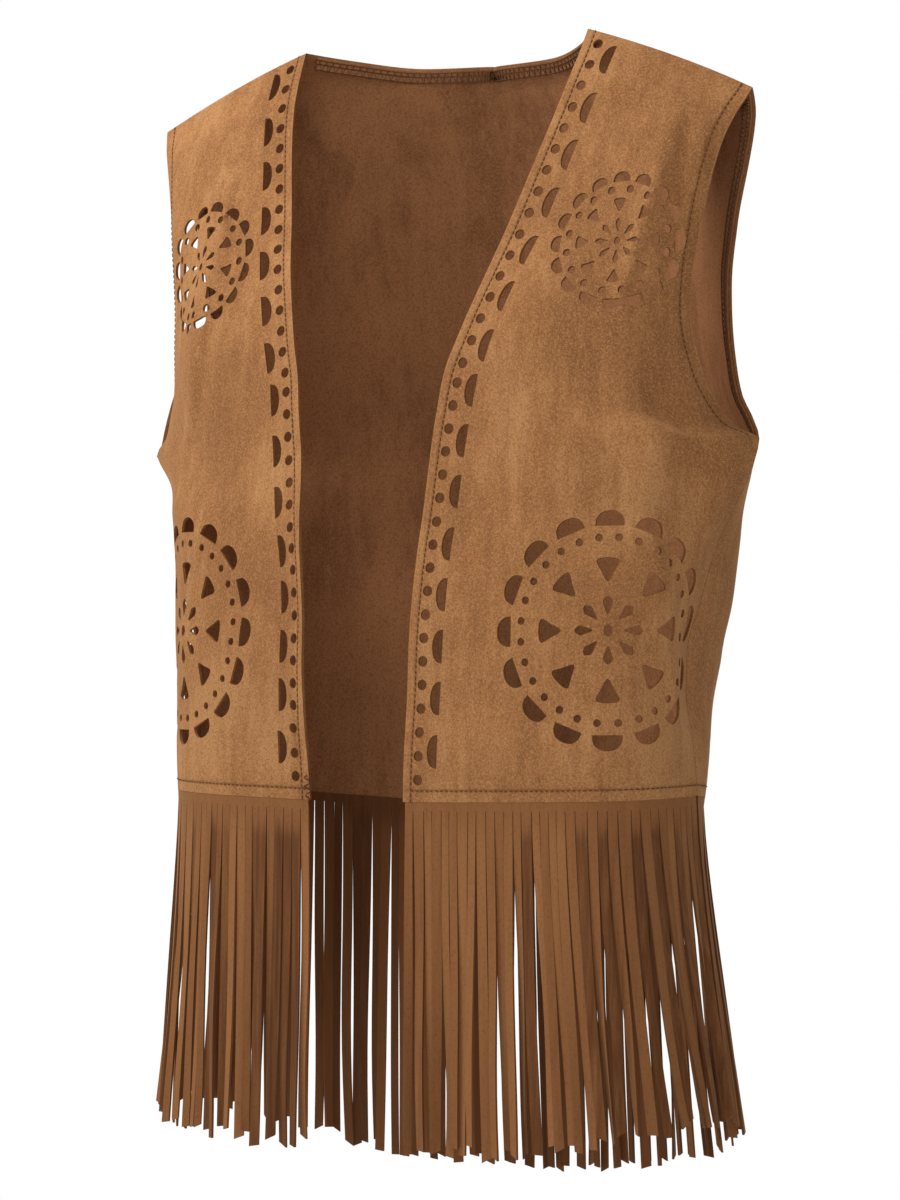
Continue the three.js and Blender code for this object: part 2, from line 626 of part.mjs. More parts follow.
// Place of an outline point: sewn edges step back by half the seam gap.
function edgePlace(name, u, h) {
  const surface = SURFACES[name];
  const n = normalAt(name, u, h);
  const onSide = Math.abs(u) > 0.999 && h <= SIDE_TOP;
  const onShoulder = h > TOP - 0.01;
  if (!onSide && !onShoulder) {
    return [surface(u, h), n];
  }
  const front = u >= 0 === (name !== 'right_front') ? 'left_front' : 'right_front';
  const seam = SURFACES[front];
  const fu = Math.abs(u);
  const p = onSide ? seam(1, h) : surface(u, h);
  const along = onSide
    ? seam(1, Math.min(SIDE_TOP, h + 1)).sub(seam(1, Math.max(0, h - 1)))
    : seam(Math.min(1, fu + 0.01), TOP).sub(seam(Math.max(0, fu - 0.01), TOP));
  const inward = surface(u * (onSide ? 0.97 : 1), onSide ? h : TOP - 3).sub(p);
  const across = along.cross(n).normalize();
  if (across.dot(inward) < 0) {
    across.negate();
  }
  return [p.addScaledVector(across, SEAM_GAP / 2), n];
}

function panel(name) {
  const { flat, back } = flatMap(name);
  const loops = [outline(name), ...(name === 'back' ? [] : openings(name))];
  const flats = loops.map((loop) => loop.map(([u, h]) => flat(u, h)));
  flats.slice(1).forEach((loop, i) => {
    if (THREE.ShapeUtils.isClockWise(loop)) {
      loop.reverse();
      loops[i + 1].reverse();
    }
  });
  const extra = [];
  const box = new THREE.Box2().setFromPoints(flats[0]);
  const near = flats.slice(1).map((loop) => new THREE.Box2().setFromPoints(loop).expandByScalar(7));
  for (let y = GRID * 0.7, row = 0; y < box.max.y; y += GRID * 0.87, row++) {
    for (let x = box.min.x + (row % 2 ? GRID / 2 : 0); x < box.max.x; x += GRID) {
      // The small shift keeps no three of these points in line.
      const p = new THREE.Vector2(x + 1.3 * jitter(x, y), y + 1.3 * jitter(y, x));
      if (!inside(p, flats[0]) || clearance(p, flats[0]) < 6) {
        continue;
      }
      const blocked = near.some((b, i) => b.containsPoint(p)
        && (inside(p, flats[i + 1]) || clearance(p, flats[i + 1]) < 4));
      if (!blocked) {
        extra.push(p);
      }
    }
  }
  const all = [...flats.flat(), ...extra];
  const faces = THREE.ShapeUtils.triangulateShape(flats[0], [...flats.slice(1), ...extra.map((p) => [p])]);
  const locked = new Set();
  let start = 0;
  for (const loop of flats) {
    loop.forEach((_, i) => {
      const a = start + i;
      const b = start + ((i + 1) % loop.length);
      locked.add(a < b ? a * 65536 + b : b * 65536 + a);
    });
    start += loop.length;
  }
  evenOut(all, faces, locked);
  const points = [];
  const normals = [];
  loops[0].forEach(([u, h]) => {
    const [p, n] = edgePlace(name, u, h);
    points.push(p);
    normals.push(n);
  });
  const uvs = [...loops.slice(1).flat(), ...extra.map((p) => [back(p.x, p.y), p.y])];
  for (const [u, h] of uvs) {
    points.push(SURFACES[name](u, h));
    normals.push(normalAt(name, u, h));
  }
  if (name !== 'left_front') {
    faces.forEach((f) => f.reverse());
  }
  return thicken(points, normals, faces, WALL);
}

// Fringe of one panel: a backing band under the hem with strands that hang from it.
function fringe(name) {
  const run = FRINGE_RUNS[name];
  const surface = SURFACES[name];
  const from = name === 'back' ? -1 : 0;
  const hem = [[from, 0]];
  for (let k = 1; k <= 120; k++) {
    const u = lerp(from, 1, k / 120);
    hem.push([u, hem[k - 1][1] + surface(u, 0).distanceTo(surface(hem[k - 1][0], 0))]);
  }
  const total = hem[120][1];
  const place = (s) => {
    let k = 1;
    while (k < 120 && hem[k][1] < s) {
      k++;
    }
    return lerp(hem[k - 1][0], hem[k][0], (s - hem[k - 1][1]) / (hem[k][1] - hem[k - 1][1]));
  };
  const margin = 1.2;
  const pitch = (total - 2 * margin) / run.count;
  const points = [];
  const normals = [];
  const faces = [];
  const add = (p, n) => {
    points.push(p);
    normals.push(n);
    return points.length - 1;
  };
  const quad = (a, b, c, d) => {
    if (name !== 'left_front') {
      faces.push([a, c, b], [a, d, c]);
    } else {
      faces.push([a, b, c], [a, c, d]);
    }
  };
  let last = null;
  for (let i = 0; i < run.count; i++) {
    const middle = margin + (i + 0.5) * pitch;
    const half = (pitch * STRAND_FILL) / 2;
    const edges = [middle - half, middle + half].map((s) => {
      const u = place(s);
      const p = surface(u, 0);
      const down = surface(u, 0).sub(surface(u, 2)).normalize();
      const n = normalOf(surface, u, 0, outwardAt(p));
      const top = p.clone().addScaledVector(down, SEAM_GAP);
      const foot = p.clone().addScaledVector(down, STRIP_HEIGHT);
      return { top: add(top, n), foot: add(foot, n), at: foot, n };
    });
    const [l, r] = edges;
    quad(l.foot, r.foot, r.top, l.top);
    if (last) {
      quad(last.foot, l.foot, l.top, last.top);
    }
    last = r;
    const mid = l.at.clone().add(r.at).multiplyScalar(0.5);
    const width = r.at.clone().sub(l.at);
    const outX = Math.pow(Math.min(1.05, Math.abs(mid.x) / 168), 2.2);
    const spread = FLARE * (mid.x > 0 ? 1.5 : 1) * outX * Math.sign(mid.x);
    const away = (i % 2 ? 1.6 : -1.6) + 0.6 * jitter(i, 3);
    const tipZ = run.tip + run.sideRise * Math.pow(outX, 1.5) + run.tipSpread * 0.5 * jitter(i, 7);
    const sway = 1.2 * Math.sin(i * 0.55) + 0.5 * jitter(i, 5);
    let prev = [l.foot, r.foot];
    for (const t of [0.5, 1]) {
      const centre = mid.clone();
      centre.z = lerp(mid.z, tipZ, t);
      centre.x += spread * Math.pow(t, 1.3);
      centre.y += mid.y > 0 ? 4 * t * t : -1.5 * t;
      centre.addScaledVector(l.n, away * t);
      centre.addScaledVector(width.clone().normalize(), sway * t);
      const turn = rad(14 * t * jitter(i, 11));
      const w = width.clone().applyAxisAngle(new THREE.Vector3(0, 0, 1), turn);
      const n = l.n.clone().applyAxisAngle(new THREE.Vector3(0, 0, 1), turn);
      const slant = t === 1 ? 1.5 * jitter(i, 13) : 0;
      const a = centre.clone().addScaledVector(w, -0.5);
      const b = centre.clone().addScaledVector(w, 0.5);
      a.z -= slant;
      b.z += slant;
      const next = [add(a, n), add(b, n)];
      quad(next[0], next[1], prev[1], prev[0]);
      prev = next;
    }
  }
  return thicken(points, normals, faces, STRAND_WALL);
}

function mesh(name, geometry, look) {
  const material = new THREE.MeshStandardMaterial({
    color: look.colour, roughness: look.roughness, metalness: look.metalness,
  });
  const out = new THREE.Mesh(geometry, material);
  out.name = name;
  return out;
}

const vest = new THREE.Group();
vest.name = 'fringed_vest';
for (const name of ['right_front', 'left_front', 'back']) {
  vest.add(mesh(name, panel(name), SUEDE));
  vest.add(mesh(`fringe_${name}`, fringe(name), FRINGE));
}
export default vest;
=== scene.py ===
"""Open suede vest with cutwork fronts and a fringed hem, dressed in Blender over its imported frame."""

import math
import random

import bpy
import numpy as np
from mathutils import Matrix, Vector
from mathutils.geometry import delaunay_2d_cdt


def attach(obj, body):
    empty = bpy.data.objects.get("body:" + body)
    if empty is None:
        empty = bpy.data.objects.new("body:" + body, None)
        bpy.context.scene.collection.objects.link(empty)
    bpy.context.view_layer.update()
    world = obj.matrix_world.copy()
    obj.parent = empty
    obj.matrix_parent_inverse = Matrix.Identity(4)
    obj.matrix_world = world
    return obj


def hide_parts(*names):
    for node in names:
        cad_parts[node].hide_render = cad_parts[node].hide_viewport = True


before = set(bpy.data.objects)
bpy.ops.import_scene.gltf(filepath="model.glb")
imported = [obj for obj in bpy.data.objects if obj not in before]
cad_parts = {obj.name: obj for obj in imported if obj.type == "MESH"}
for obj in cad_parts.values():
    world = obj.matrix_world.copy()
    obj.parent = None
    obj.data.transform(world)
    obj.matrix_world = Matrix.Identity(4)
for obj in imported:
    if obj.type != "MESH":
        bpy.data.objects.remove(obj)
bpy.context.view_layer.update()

bl_info = {
    "name": "Fringed suede vest",
    "version": (1, 0, 0),
    "blender": (4, 5, 0),
    "location": "3D View > Sidebar > Vest",
    "description": "Builds the panels, cutwork, stitching and fringe of a suede vest",
    "category": "Object",
}

MM = 0.001

# One row is one section across half a panel, hem to shoulder, in millimetres and degrees:
# height, inner edge point, side point, heading at both ends, handle lengths over the chord,
# rise of the middle, and how far the front edge turns out.
COLUMNS = "h ex ey ez sx sy sz eturn sturn epull spull arch flip".split()
FRONT_TOP = (
    (280, 65, -53.5, -133, 171, -19.5, -155, 8, 68, 0.33, 0.36, 0, 0),
    (325, 75, -40, -98, 176, -16, -110, 8, 60, 0.33, 0.33, 0, 0),
    (370, 85.1, -24.3, -55, 184.5, -9.5, -68, 6, 40, 0.33, 0.33, 0.5, 0),
    (395, 91, -14.5, -29, 191, -3.5, -50, 3, 20, 0.33, 0.33, 1.5, 0),
    (408, 93.8, -5, -10, 194.5, 1, -42, 0, 5, 0.33, 0.33, 2, 0),
    (415, 94.5, 0, 0, 196, 3, -38, 0, 0, 0.33, 0.33, 2.2, 0),
)
LEFT_FRONT = (
    (0, 31, -82, -415, 171, -13, -411, 3, 100, 0.62, 0.55, 0, 0),
    (32, 33, -83, -383, 168, -13, -380, 3, 106, 0.64, 0.58, 0, 0),
    (55, 34, -82.7, -360, 163.9, -13, -357, 3, 110, 0.64, 0.58, 0, 0),
    (78, 34.7, -82.2, -337, 164.2, -12, -334, 3, 110, 0.6, 0.56, 0, 0),
    (105, 36, -81, -312, 171.6, -10.5, -308, 4, 106, 0.55, 0.52, 0, 0),
    (135, 38, -79, -281, 180.2, -8, -279, 4, 100, 0.5, 0.48, 0, 0),
    (155, 40, -77, -261, 188.5, -5, -260, 5, 95, 0.46, 0.44, 0, 0),
    (175, 41.7, -75, -241, 197, -2, -241, 5, 90, 0.44, 0.42, 0, 0),
    (193, 43.5, -73.5, -222, 200.4, 1.5, -223.5, 6, 85, 0.42, 0.4, 0, 0),
    (208, 46, -72, -204, 189, -2, -217, 7, 80, 0.38, 0.4, 0, 0),
    (222, 48.5, -69.5, -187, 182, -8, -206, 7, 76, 0.36, 0.38, 0, 0),
    (245, 54.5, -65, -168, 175, -14, -187, 7, 74, 0.34, 0.36, 0, 0),
    *FRONT_TOP,
)
RIGHT_FRONT = (
    (0, 31, -82, -415, 164.6, -10, -411, -2, 80, 0.4, 0.42, 0, 0),
    (32, 31, -83, -383, 162.8, -10, -380, 0, 85, 0.4, 0.42, 0, 3),
    (55, 29, -83.5, -360, 163, -10, -357, 0, 85, 0.4, 0.42, 0, 7),
    (78, 28.5, -83.5, -337, 164.2, -9, -334, 0, 85, 0.4, 0.42, 0, 9),
    (105, 29.5, -82, -312, 165.2, -9, -308, 2, 85, 0.4, 0.42, 0, 9),
    (135, 32, -80, -281, 167.4, -8, -279, 3, 85, 0.38, 0.42, 0, 8),
    (155, 36, -78, -261, 172, -5, -260, 4, 82, 0.38, 0.41, 0, 5),
    (175, 40, -75.5, -241, 184, -2, -241, 5, 65, 0.38, 0.36, 0, 2),
    (193, 43.5, -73.5, -222, 200.4, 1.5, -223.5, 6, 56, 0.38, 0.32, 0, 0),
    (208, 46, -72, -204, 189, -2, -217, 7, 66, 0.36, 0.33, 0, 0),
    (222, 48.5, -69.5, -187, 181, -8, -206, 7, 70, 0.36, 0.34, 0, 0),
    (245, 54.5, -65, -168, 174, -14, -187, 7, 72, 0.34, 0.35, 0, 0),
    *FRONT_TOP,
)
BACK_TOP = (
    (325, 0, 82, -78, 179.5, 14.5, -107, 0, -26, 0.36, 0.34, 0, 0),
    (360, 0, 68, -42, 189, 11.5, -73, 0, -20, 0.34, 0.33, 0, 0),
    (382, 0, 54, -18, 194, 8.5, -56, 0, -15, 0.33, 0.33, 0.4, 0),
    (391, 0, 49, -9, 195.4, 7, -49, 0, -12, 0.33, 0.33, 0.8, 0),
    (400, 44, 41, -7.9, 195.8, 5.4, -44, 0, -8, 0.33, 0.33, 1.5, 0),
    (408, 76, 22, -3.6, 196, 4, -40.5, 0, -4, 0.33, 0.33, 2, 0),
    (415, 94.5, 0, 0, 196, 3, -38, 0, 0, 0.33, 0.33, 2.2, 0),
)
LEFT_BACK = (
    (0, 0, 70, -423, 171, -13, -411, 0, -75, 0.42, 0.36, 0, 0),
    (32, 0, 72, -388, 168, -13, -380, 0, -85, 0.43, 0.4, 0, 0),
    (55, 0, 74, -364, 163.9, -13, -357, 0, -95, 0.44, 0.43, 0, 0),
    (78, 0, 76, -340, 164.2, -12, -334, 0, -98, 0.44, 0.45, 0, 0),
    (105, 0, 80, -312, 171.6, -10.5, -308, 0, -96, 0.43, 0.42, 0, 0),
    (135, 0, 85, -281, 180.2, -8, -279, 0, -90, 0.42, 0.38, 0, 0),
    (155, 0, 88, -260, 188.5, -5, -260, 0, -78, 0.41, 0.34, 0, 0),
    (175, 0, 91, -238, 197, -2, -241, 0, -65, 0.4, 0.32, 0, 0),
    (193, 0, 93, -218, 200.4, 1.5, -223.5, 0, -56, 0.4, 0.32, 0, 0),
    (208, 0, 94, -199, 196, 2.5, -212, 0, -50, 0.4, 0.34, 0, 0),
    (222, 0, 94.5, -181, 189, 3.5, -200, 0, -46, 0.4, 0.34, 0, 0),
    (245, 0, 94, -157, 182, 7, -175, 0, -42, 0.38, 0.34, 0, 0),
    (280, 0, 91, -122, 175, 15.5, -142, 0, -34, 0.38, 0.34, 0, 0),
    *BACK_TOP,
)
RIGHT_BACK = (
    (0, 0, 70, -423, 164.6, -10, -411, 0, -80, 0.43, 0.4, 0, 0),
    (32, 0, 72, -388, 162.8, -10, -380, 0, -85, 0.43, 0.4, 0, 0),
    (55, 0, 74, -364, 163, -10, -357, 0, -88, 0.43, 0.4, 0, 0),
    (78, 0, 76, -340, 164.2, -9, -334, 0, -88, 0.43, 0.4, 0, 0),
    (105, 0, 80, -312, 165.2, -9, -308, 0, -88, 0.43, 0.4, 0, 0),
    (135, 0, 85, -281, 167.4, -8, -279, 0, -88, 0.42, 0.4, 0, 0),
    (155, 0, 88, -260, 172, -5, -260, 0, -80, 0.41, 0.37, 0, 0),
    (175, 0, 91, -238, 184, -2, -241, 0, -66, 0.4, 0.33, 0, 0),
    (193, 0, 93, -218, 200.4, 1.5, -223.5, 0, -56, 0.4, 0.32, 0, 0),
    (208, 0, 94, -199, 198.5, 2.4, -212, 0, -52, 0.4, 0.34, 0, 0),
    (222, 0, 94.5, -181, 195, 2.4, -200, 0, -48, 0.4, 0.34, 0, 0),
    (245, 0, 94, -157, 187, 5, -175, 0, -42, 0.38, 0.34, 0, 0),
    (280, 0, 91, -122, 176, 14, -142, 0, -34, 0.38, 0.34, 0, 0),
    *BACK_TOP,
)
SIDE_TOP, NECK_FOOT, TOP = 193.0, 391.0, 415.0
FLIP_REACH = 13.0
SEAM_GAP = 0.3
GRID_SEED = 11
FOLD_SPAN = 150  # across a panel, for the u of a fold

# Insets of the topstitching from the edges.
FRONT_LINE, ARM_LINE, HEM_LINE, NECK_LINE = 5.0, 6.5, 6.0, 7.0

# Soft folds: u0, h0, u1, h1, reach, height. Those 2.5 mm high and more are also in the solids.
FOLDS = {
    "left_front": (
        (0.78, 395, 0.9, 290, 9, -3.2),
        (0.73, 365, 0.66, 262, 5, 2.0),
        (0.62, 232, 0.65, 150, 10, 2.4),
        (0.77, 245, 0.8, 130, 11, -4),
        (0.12, 258, 0.85, 258, 42, 4.5),
        (0.64, 150, 0.93, 38, 9, 3),
        (0.68, 148, 0.94, 62, 4, 1.2),
        (0.3, 250, 0.34, 60, 16, 1.4),
    ),
    "right_front": (
        (0.42, 380, 0.62, 210, 12, 3),
        (0.36, 372, 0.58, 175, 4, 1.6),
        (0.12, 258, 0.6, 258, 42, 3.5),
        (0.82, 330, 0.8, 220, 12, -2.5),
        (0.5, 190, 0.62, 60, 9, 1.2),
    ),
    "back": (
        (-0.4, 330, -0.45, 60, 16, 3),
        (0.12, 300, 0.08, 40, 18, -3),
        (0.55, 250, 0.5, 30, 15, 3),
        (-0.75, 200, -0.5, 150, 10, 1.5),
    ),
}
# Slow unevenness of the leather: waves across, waves along, height.
WAVES = ((0.021, 0.013, 0.55), (-0.034, 0.027, 0.35), (0.012, -0.041, 0.3))
WAVE_START = {"left_front": 0, "right_front": 400, "back": 900}


class Rows:
    """Shape-keeping cubic through the rows of a section table."""

    def __init__(self, rows):
        self.rows = np.array(rows, float)
        x, y = self.rows[:, 0], self.rows
        step, rise = np.diff(x), np.diff(y, axis=0) / np.diff(x)[:, None]
        slope = np.zeros_like(y)
        w1, w2 = 2 * step[1:] + step[:-1], step[1:] + 2 * step[:-1]
        same = rise[:-1] * rise[1:] > 0
        a, b = np.where(same, rise[:-1], 1), np.where(same, rise[1:], 1)
        slope[1:-1] = np.where(same, (w1 + w2)[:, None] / (w1[:, None] / a + w2[:, None] / b), 0)
        for i, j, k in ((0, 0, 1), (-1, -1, -2)):
            m = ((2 * step[j] + step[k]) * rise[j] - step[j] * rise[k]) / (step[j] + step[k])
            m = np.where(m * rise[j] <= 0, 0, m)
            steep = (rise[j] * rise[k] <= 0) & (np.abs(m) > 3 * np.abs(rise[j]))
            slope[i] = np.where(steep, 3 * rise[j], m)
        self.slope = slope

    def at(self, h):
        x = self.rows[:, 0]
        i = np.clip(np.searchsorted(x, h, side="right") - 1, 0, len(x) - 2)
        d = x[i + 1] - x[i]
        t = (h - x[i]) / d
        a, c = (1 + 2 * t) * (1 - t) ** 2, t * t * (3 - 2 * t)
        b, e = t * (1 - t) ** 2 * d, t * t * (t - 1) * d
        row = (
            a[..., None] * self.rows[i] + b[..., None] * self.slope[i]
            + c[..., None] * self.rows[i + 1] + e[..., None] * self.slope[i + 1]
        )
        return {name: row[..., k] for k, name in enumerate(COLUMNS)}


def half_panel(rows, side):
    """Surface of half a panel: u from the inner edge to the side, h from hem to shoulder."""
    table = Rows(rows)

    def at(u, h):
        r = table.at(h)
        chord = np.hypot(r["sx"] - r["ex"], r["sy"] - r["ey"])
        e, s = np.radians(r["eturn"]), np.radians(r["sturn"])
        pe, ps = chord * r["epull"], chord * r["spull"]
        x = (r["ex"], r["ex"] + np.cos(e) * pe, r["sx"] - np.cos(s) * ps, r["sx"])
        y = (r["ey"], r["ey"] + np.sin(e) * pe, r["sy"] - np.sin(s) * ps, r["sy"])
        v = 1 - u
        w = (v**3, 3 * u * v * v, 3 * u * u * v, u**3)
        px = sum(a * b for a, b in zip(w, x)) * side
        py = sum(a * b for a, b in zip(w, y)) - r["flip"] * np.exp(-u * chord * 1.1 / FLIP_REACH)
        return np.stack([px, py, r["ez"] + (r["sz"] - r["ez"]) * u + r["arch"] * 4 * u * v], -1)

    return at


HALVES = {
    "left_front": half_panel(LEFT_FRONT, 1),
    "right_front": half_panel(RIGHT_FRONT, -1),
    "left_back": half_panel(LEFT_BACK, 1),
    "right_back": half_panel(RIGHT_BACK, -1),
}


def base_point(name, u, h):
    if name != "back":
        return HALVES[name](u, h)
    left, right = HALVES["left_back"](np.abs(u), h), HALVES["right_back"](np.abs(u), h)
    return np.where((u >= 0)[..., None], left, right)


def unit(v):
    return v / np.maximum(np.linalg.norm(v, axis=-1, keepdims=True), 1e-12)


def dot(a, b):
    return (a * b).sum(-1)


def facing(v, way):
    """v, turned round where it points against the other vector."""
    return v * np.where(dot(v, way) < 0, -1.0, 1.0)[..., None]


def flattened(v, n):
    """Direction of v within the plane that has the normal n."""
    return unit(v - n * dot(v, n)[..., None])


def run_length(p):
    """Length of a run of points, up to each of them."""
    return np.concatenate([[0], np.cumsum(np.linalg.norm(np.diff(p, axis=0), axis=1))])


def pair(u, h):
    """u and h as arrays of one shape."""
    return np.broadcast_arrays(np.asarray(u, float), np.asarray(h, float))


def neck_height(t):
    """Height of the back's neck edge, from its foot at 0 to the shoulder at 1 or -1."""
    return NECK_FOOT + (TOP - NECK_FOOT) * np.abs(t) ** 1.5


def base_normal(name, u, h, point=base_point):
    side, reach = np.where(u < 0, -1.0, 1.0), np.abs(u)
    a = point(name, side * (reach + 0.004), h) - point(name, side * np.maximum(reach - 0.004, 1e-6), h)
    b = point(name, u, np.minimum(h + 0.6, TOP)) - point(name, u, np.maximum(h - 0.6, 0))
    n = unit(np.cross(a, b))
    p = point(name, u, h)
    out = np.stack([p[..., 0] * 0.6, p[..., 1], np.maximum(0, p[..., 2] + 60)], -1)
    return facing(n, out)


def fold_height(name, u, h):
    """Height of the folds, plus the slow unevenness of soft leather."""
    total = np.zeros_like(u)
    for u0, h0, u1, h1, reach, height in FOLDS[name]:
        dx, dy = (u1 - u0) * FOLD_SPAN, h1 - h0
        px, py = (u - u0) * FOLD_SPAN, h - h0
        along = (px * dx + py * dy) / (dx * dx + dy * dy)
        across = (px * dy - py * dx) / math.hypot(dx, dy)
        fade = np.exp(-((np.maximum(0, np.abs(along - 0.5) - 0.3) / 0.16) ** 2))
        total += height * fade * np.exp(-((across / reach) ** 2))
    x = u * FOLD_SPAN + WAVE_START[name]
    for k, (wx, wy, size) in enumerate(WAVES):
        total += size * np.sin(x * wx * 2 + h * wy * 2 + 1.7 * k)
    return total


def point_at(name, u, h):
    u, h = pair(u, h)
    p = base_point(name, u, h)
    edge = np.clip((1 - np.abs(u)) / 0.12, 0, 1) * np.clip((TOP - h) / 40, 0, 1)
    return p + base_normal(name, u, h) * (fold_height(name, u, h) * edge)[..., None]


def normal_at(name, u, h):
    u, h = pair(u, h)
    own = base_normal(name, u, h, point_at)
    seam = ((np.abs(np.abs(u) - 1) < 0.02) & (h <= SIDE_TOP)) | (h > TOP - 1)
    reach = np.maximum(np.abs(u), 1e-6)
    if name == "back":
        left = base_normal("left_front", reach, h, point_at)
        right = base_normal("right_front", reach, h, point_at)
        mate = np.where((u >= 0)[..., None], left, right)
    else:
        mate = base_normal("back", reach if name == "left_front" else -reach, h, point_at)
    return np.where(seam[..., None], unit(own + mate), own)


def slopes(name, u, h):
    """Change of the surface point with u and with h."""
    su = (point_at(name, u + 0.003, h) - point_at(name, u - 0.003, h)) / 0.006
    return su, point_at(name, u, h + 0.5) - point_at(name, u, h - 0.5)


def walk(name, u, h, direction, distance, steps=14):
    """Follows the surface from u, h by a distance in each given direction."""
    u, h = u.astype(float).copy(), h.astype(float).copy()
    d, step = unit(direction), distance / steps
    for _ in range(steps):
        su, sh = slopes(name, u, h)
        d = flattened(d, unit(np.cross(su, sh)))
        uu, uh, hh = dot(su, su), dot(su, sh), dot(sh, sh)
        bu, bh = dot(d, su), dot(d, sh)
        det = uu * hh - uh * uh
        u += step * (bu * hh - bh * uh) / det
        h += step * (bh * uu - bu * uh) / det
    return u, h


def offset_points(name, u, h, up, across, along, steps=14):
    """Points at (across, along) from u, h, where along follows the direction up."""
    u, h = pair(u, h)
    su, sh = slopes(name, u, h)
    n = unit(np.cross(su, sh))
    up = flattened(up, n)
    out = facing(unit(np.cross(up, n)), su)
    direction = out * across[..., None] + up * along[..., None]
    return walk(name, u, h, direction, np.hypot(across, along), steps)


# Flat outlines of the openings, as (across, along) arrays in millimetres.

def smooth_loop(points, count):
    """Closed Catmull-Rom curve through a few corner points."""
    p = np.array(points, float)
    n = len(p)
    t = np.arange(count) * n / count
    i = t.astype(int)
    f = (t - i)[:, None]
    a, b, c, d = (p[(i + k) % n] for k in (-1, 0, 1, 2))
    return 0.5 * (2 * b + (c - a) * f + (2 * a - 5 * b + 4 * c - d) * f**2 + (3 * b - a - 3 * c + d) * f**3)


def disc(rx, ry=None, count=18):
    a = np.arange(count) * 2 * math.pi / count
    return np.stack([rx * np.cos(a), (ry or rx) * np.sin(a)], -1)


def half_moon(length, depth):
    a = np.linspace(0, math.pi, 15)
    arc = np.stack([-depth * np.sin(a) ** 0.75, -length / 2 * np.cos(a)], -1)
    flat = np.linspace(length / 2, -length / 2, 9)[1:-1]
    return np.concatenate([arc, np.stack([np.zeros(7), flat], -1)])


def moon_piece(w, d):
    a = np.linspace(0, math.pi, 13)
    arc = np.stack([w / 2 * np.cos(a), -d / 2 + d * np.sin(a) ** 0.7], -1)
    flat = np.linspace(-w / 2, w / 2, 8)[1:-1]
    return np.concatenate([arc, np.stack([flat, np.full(6, -d / 2)], -1)])


def wedge_piece(w, d):
    return smooth_loop(((0, -d / 2), (w * 0.3, -d * 0.02), (w / 2, d * 0.36), (w * 0.26, d / 2),
                        (-w * 0.26, d / 2), (-w / 2, d * 0.36), (-w * 0.3, -d * 0.02)), 22)


def petal_piece(length, w):
    return smooth_loop(((0, -length / 2), (w * 0.34, -length * 0.1), (w / 2, length * 0.22),
                        (0, length / 2), (-w / 2, length * 0.22), (-w * 0.34, -length * 0.1)), 18)


def turned(shape, radius, angle):
    c, s = math.cos(angle), math.sin(angle)
    t, r = shape[:, 0], radius + shape[:, 1]
    return np.stack([r * c - t * s, r * s + t * c], -1)


def rosette(moons, dots, wedges, petals, centre):
    """Rings of openings round a centre; each ring is count, radius and sizes."""
    shapes = []

    def ring(count, radius, shape, shift):
        for i in range(count):
            shapes.append(turned(shape, radius, 2 * math.pi * (i + shift) / count + math.pi / 2))

    ring(moons[0], moons[1], moon_piece(*moons[2:]), 0)
    ring(dots[0], dots[1], disc(dots[2], count=14), 0.5)
    ring(wedges[0], wedges[1], wedge_piece(*wedges[2:]), 0)
    ring(petals[0], petals[1], petal_piece(*petals[2:]), 0)
    shapes.append(disc(*centre, count=14))
    return shapes


SMALL_ROSETTE = dict(moons=(16, 35.5, 10, 5.8), dots=(16, 28.6, 2.2), wedges=(8, 19.8, 7.4, 7.4),
                     petals=(8, 8.8, 7.4, 3.2), centre=(1.7, 2.2))
LARGE_ROSETTE = dict(moons=(16, 58.8, 16, 8.4), dots=(28, 48.6, 2.1), wedges=(8, 31.5, 12.6, 12.6),
                     petals=(8, 13, 10, 5.2), centre=(2.4, 3.2))
ROSETTES = {
    "left_front": ((SMALL_ROSETTE, 0.585, 310), (LARGE_ROSETTE, 0.57, 90)),
    "right_front": ((SMALL_ROSETTE, 0.54, 306), (LARGE_ROSETTE, 0.59, 90)),
}
# Rows of openings along the front edge: how many, inset, sizes, and the free lengths
# above the first opening and at both ends together.
DOT_COUNT, DOT_INSET, DOT_RADIUS, DOT_FIRST, DOT_ENDS = 34, 9.2, 2.9, 8.5, 21
MOON_COUNT, MOON_INSET, MOON_LENGTH, MOON_DEPTH, MOON_FIRST, MOON_ENDS = 15, 21, 18, 6.4, 17, 45


def edge_run(name):
    """Heights along the front edge and the edge's length at each."""
    h = np.arange(0, TOP + 0.1, 2.5)
    p = point_at(name, np.zeros_like(h), h)
    return h, run_length(p)


def edge_frames(name, lengths, inset):
    """Places a given inset from the front edge, and the edge's direction there."""
    h, run = edge_run(name)
    hs = np.interp(lengths, run, h)
    zero = np.zeros_like(hs)
    up = unit(point_at(name, zero, np.minimum(TOP, hs + 1)) - point_at(name, zero, hs - 1))
    across = np.full_like(hs, float(inset))
    u, hh = offset_points(name, zero, hs, up, across, zero)
    return u, hh, up


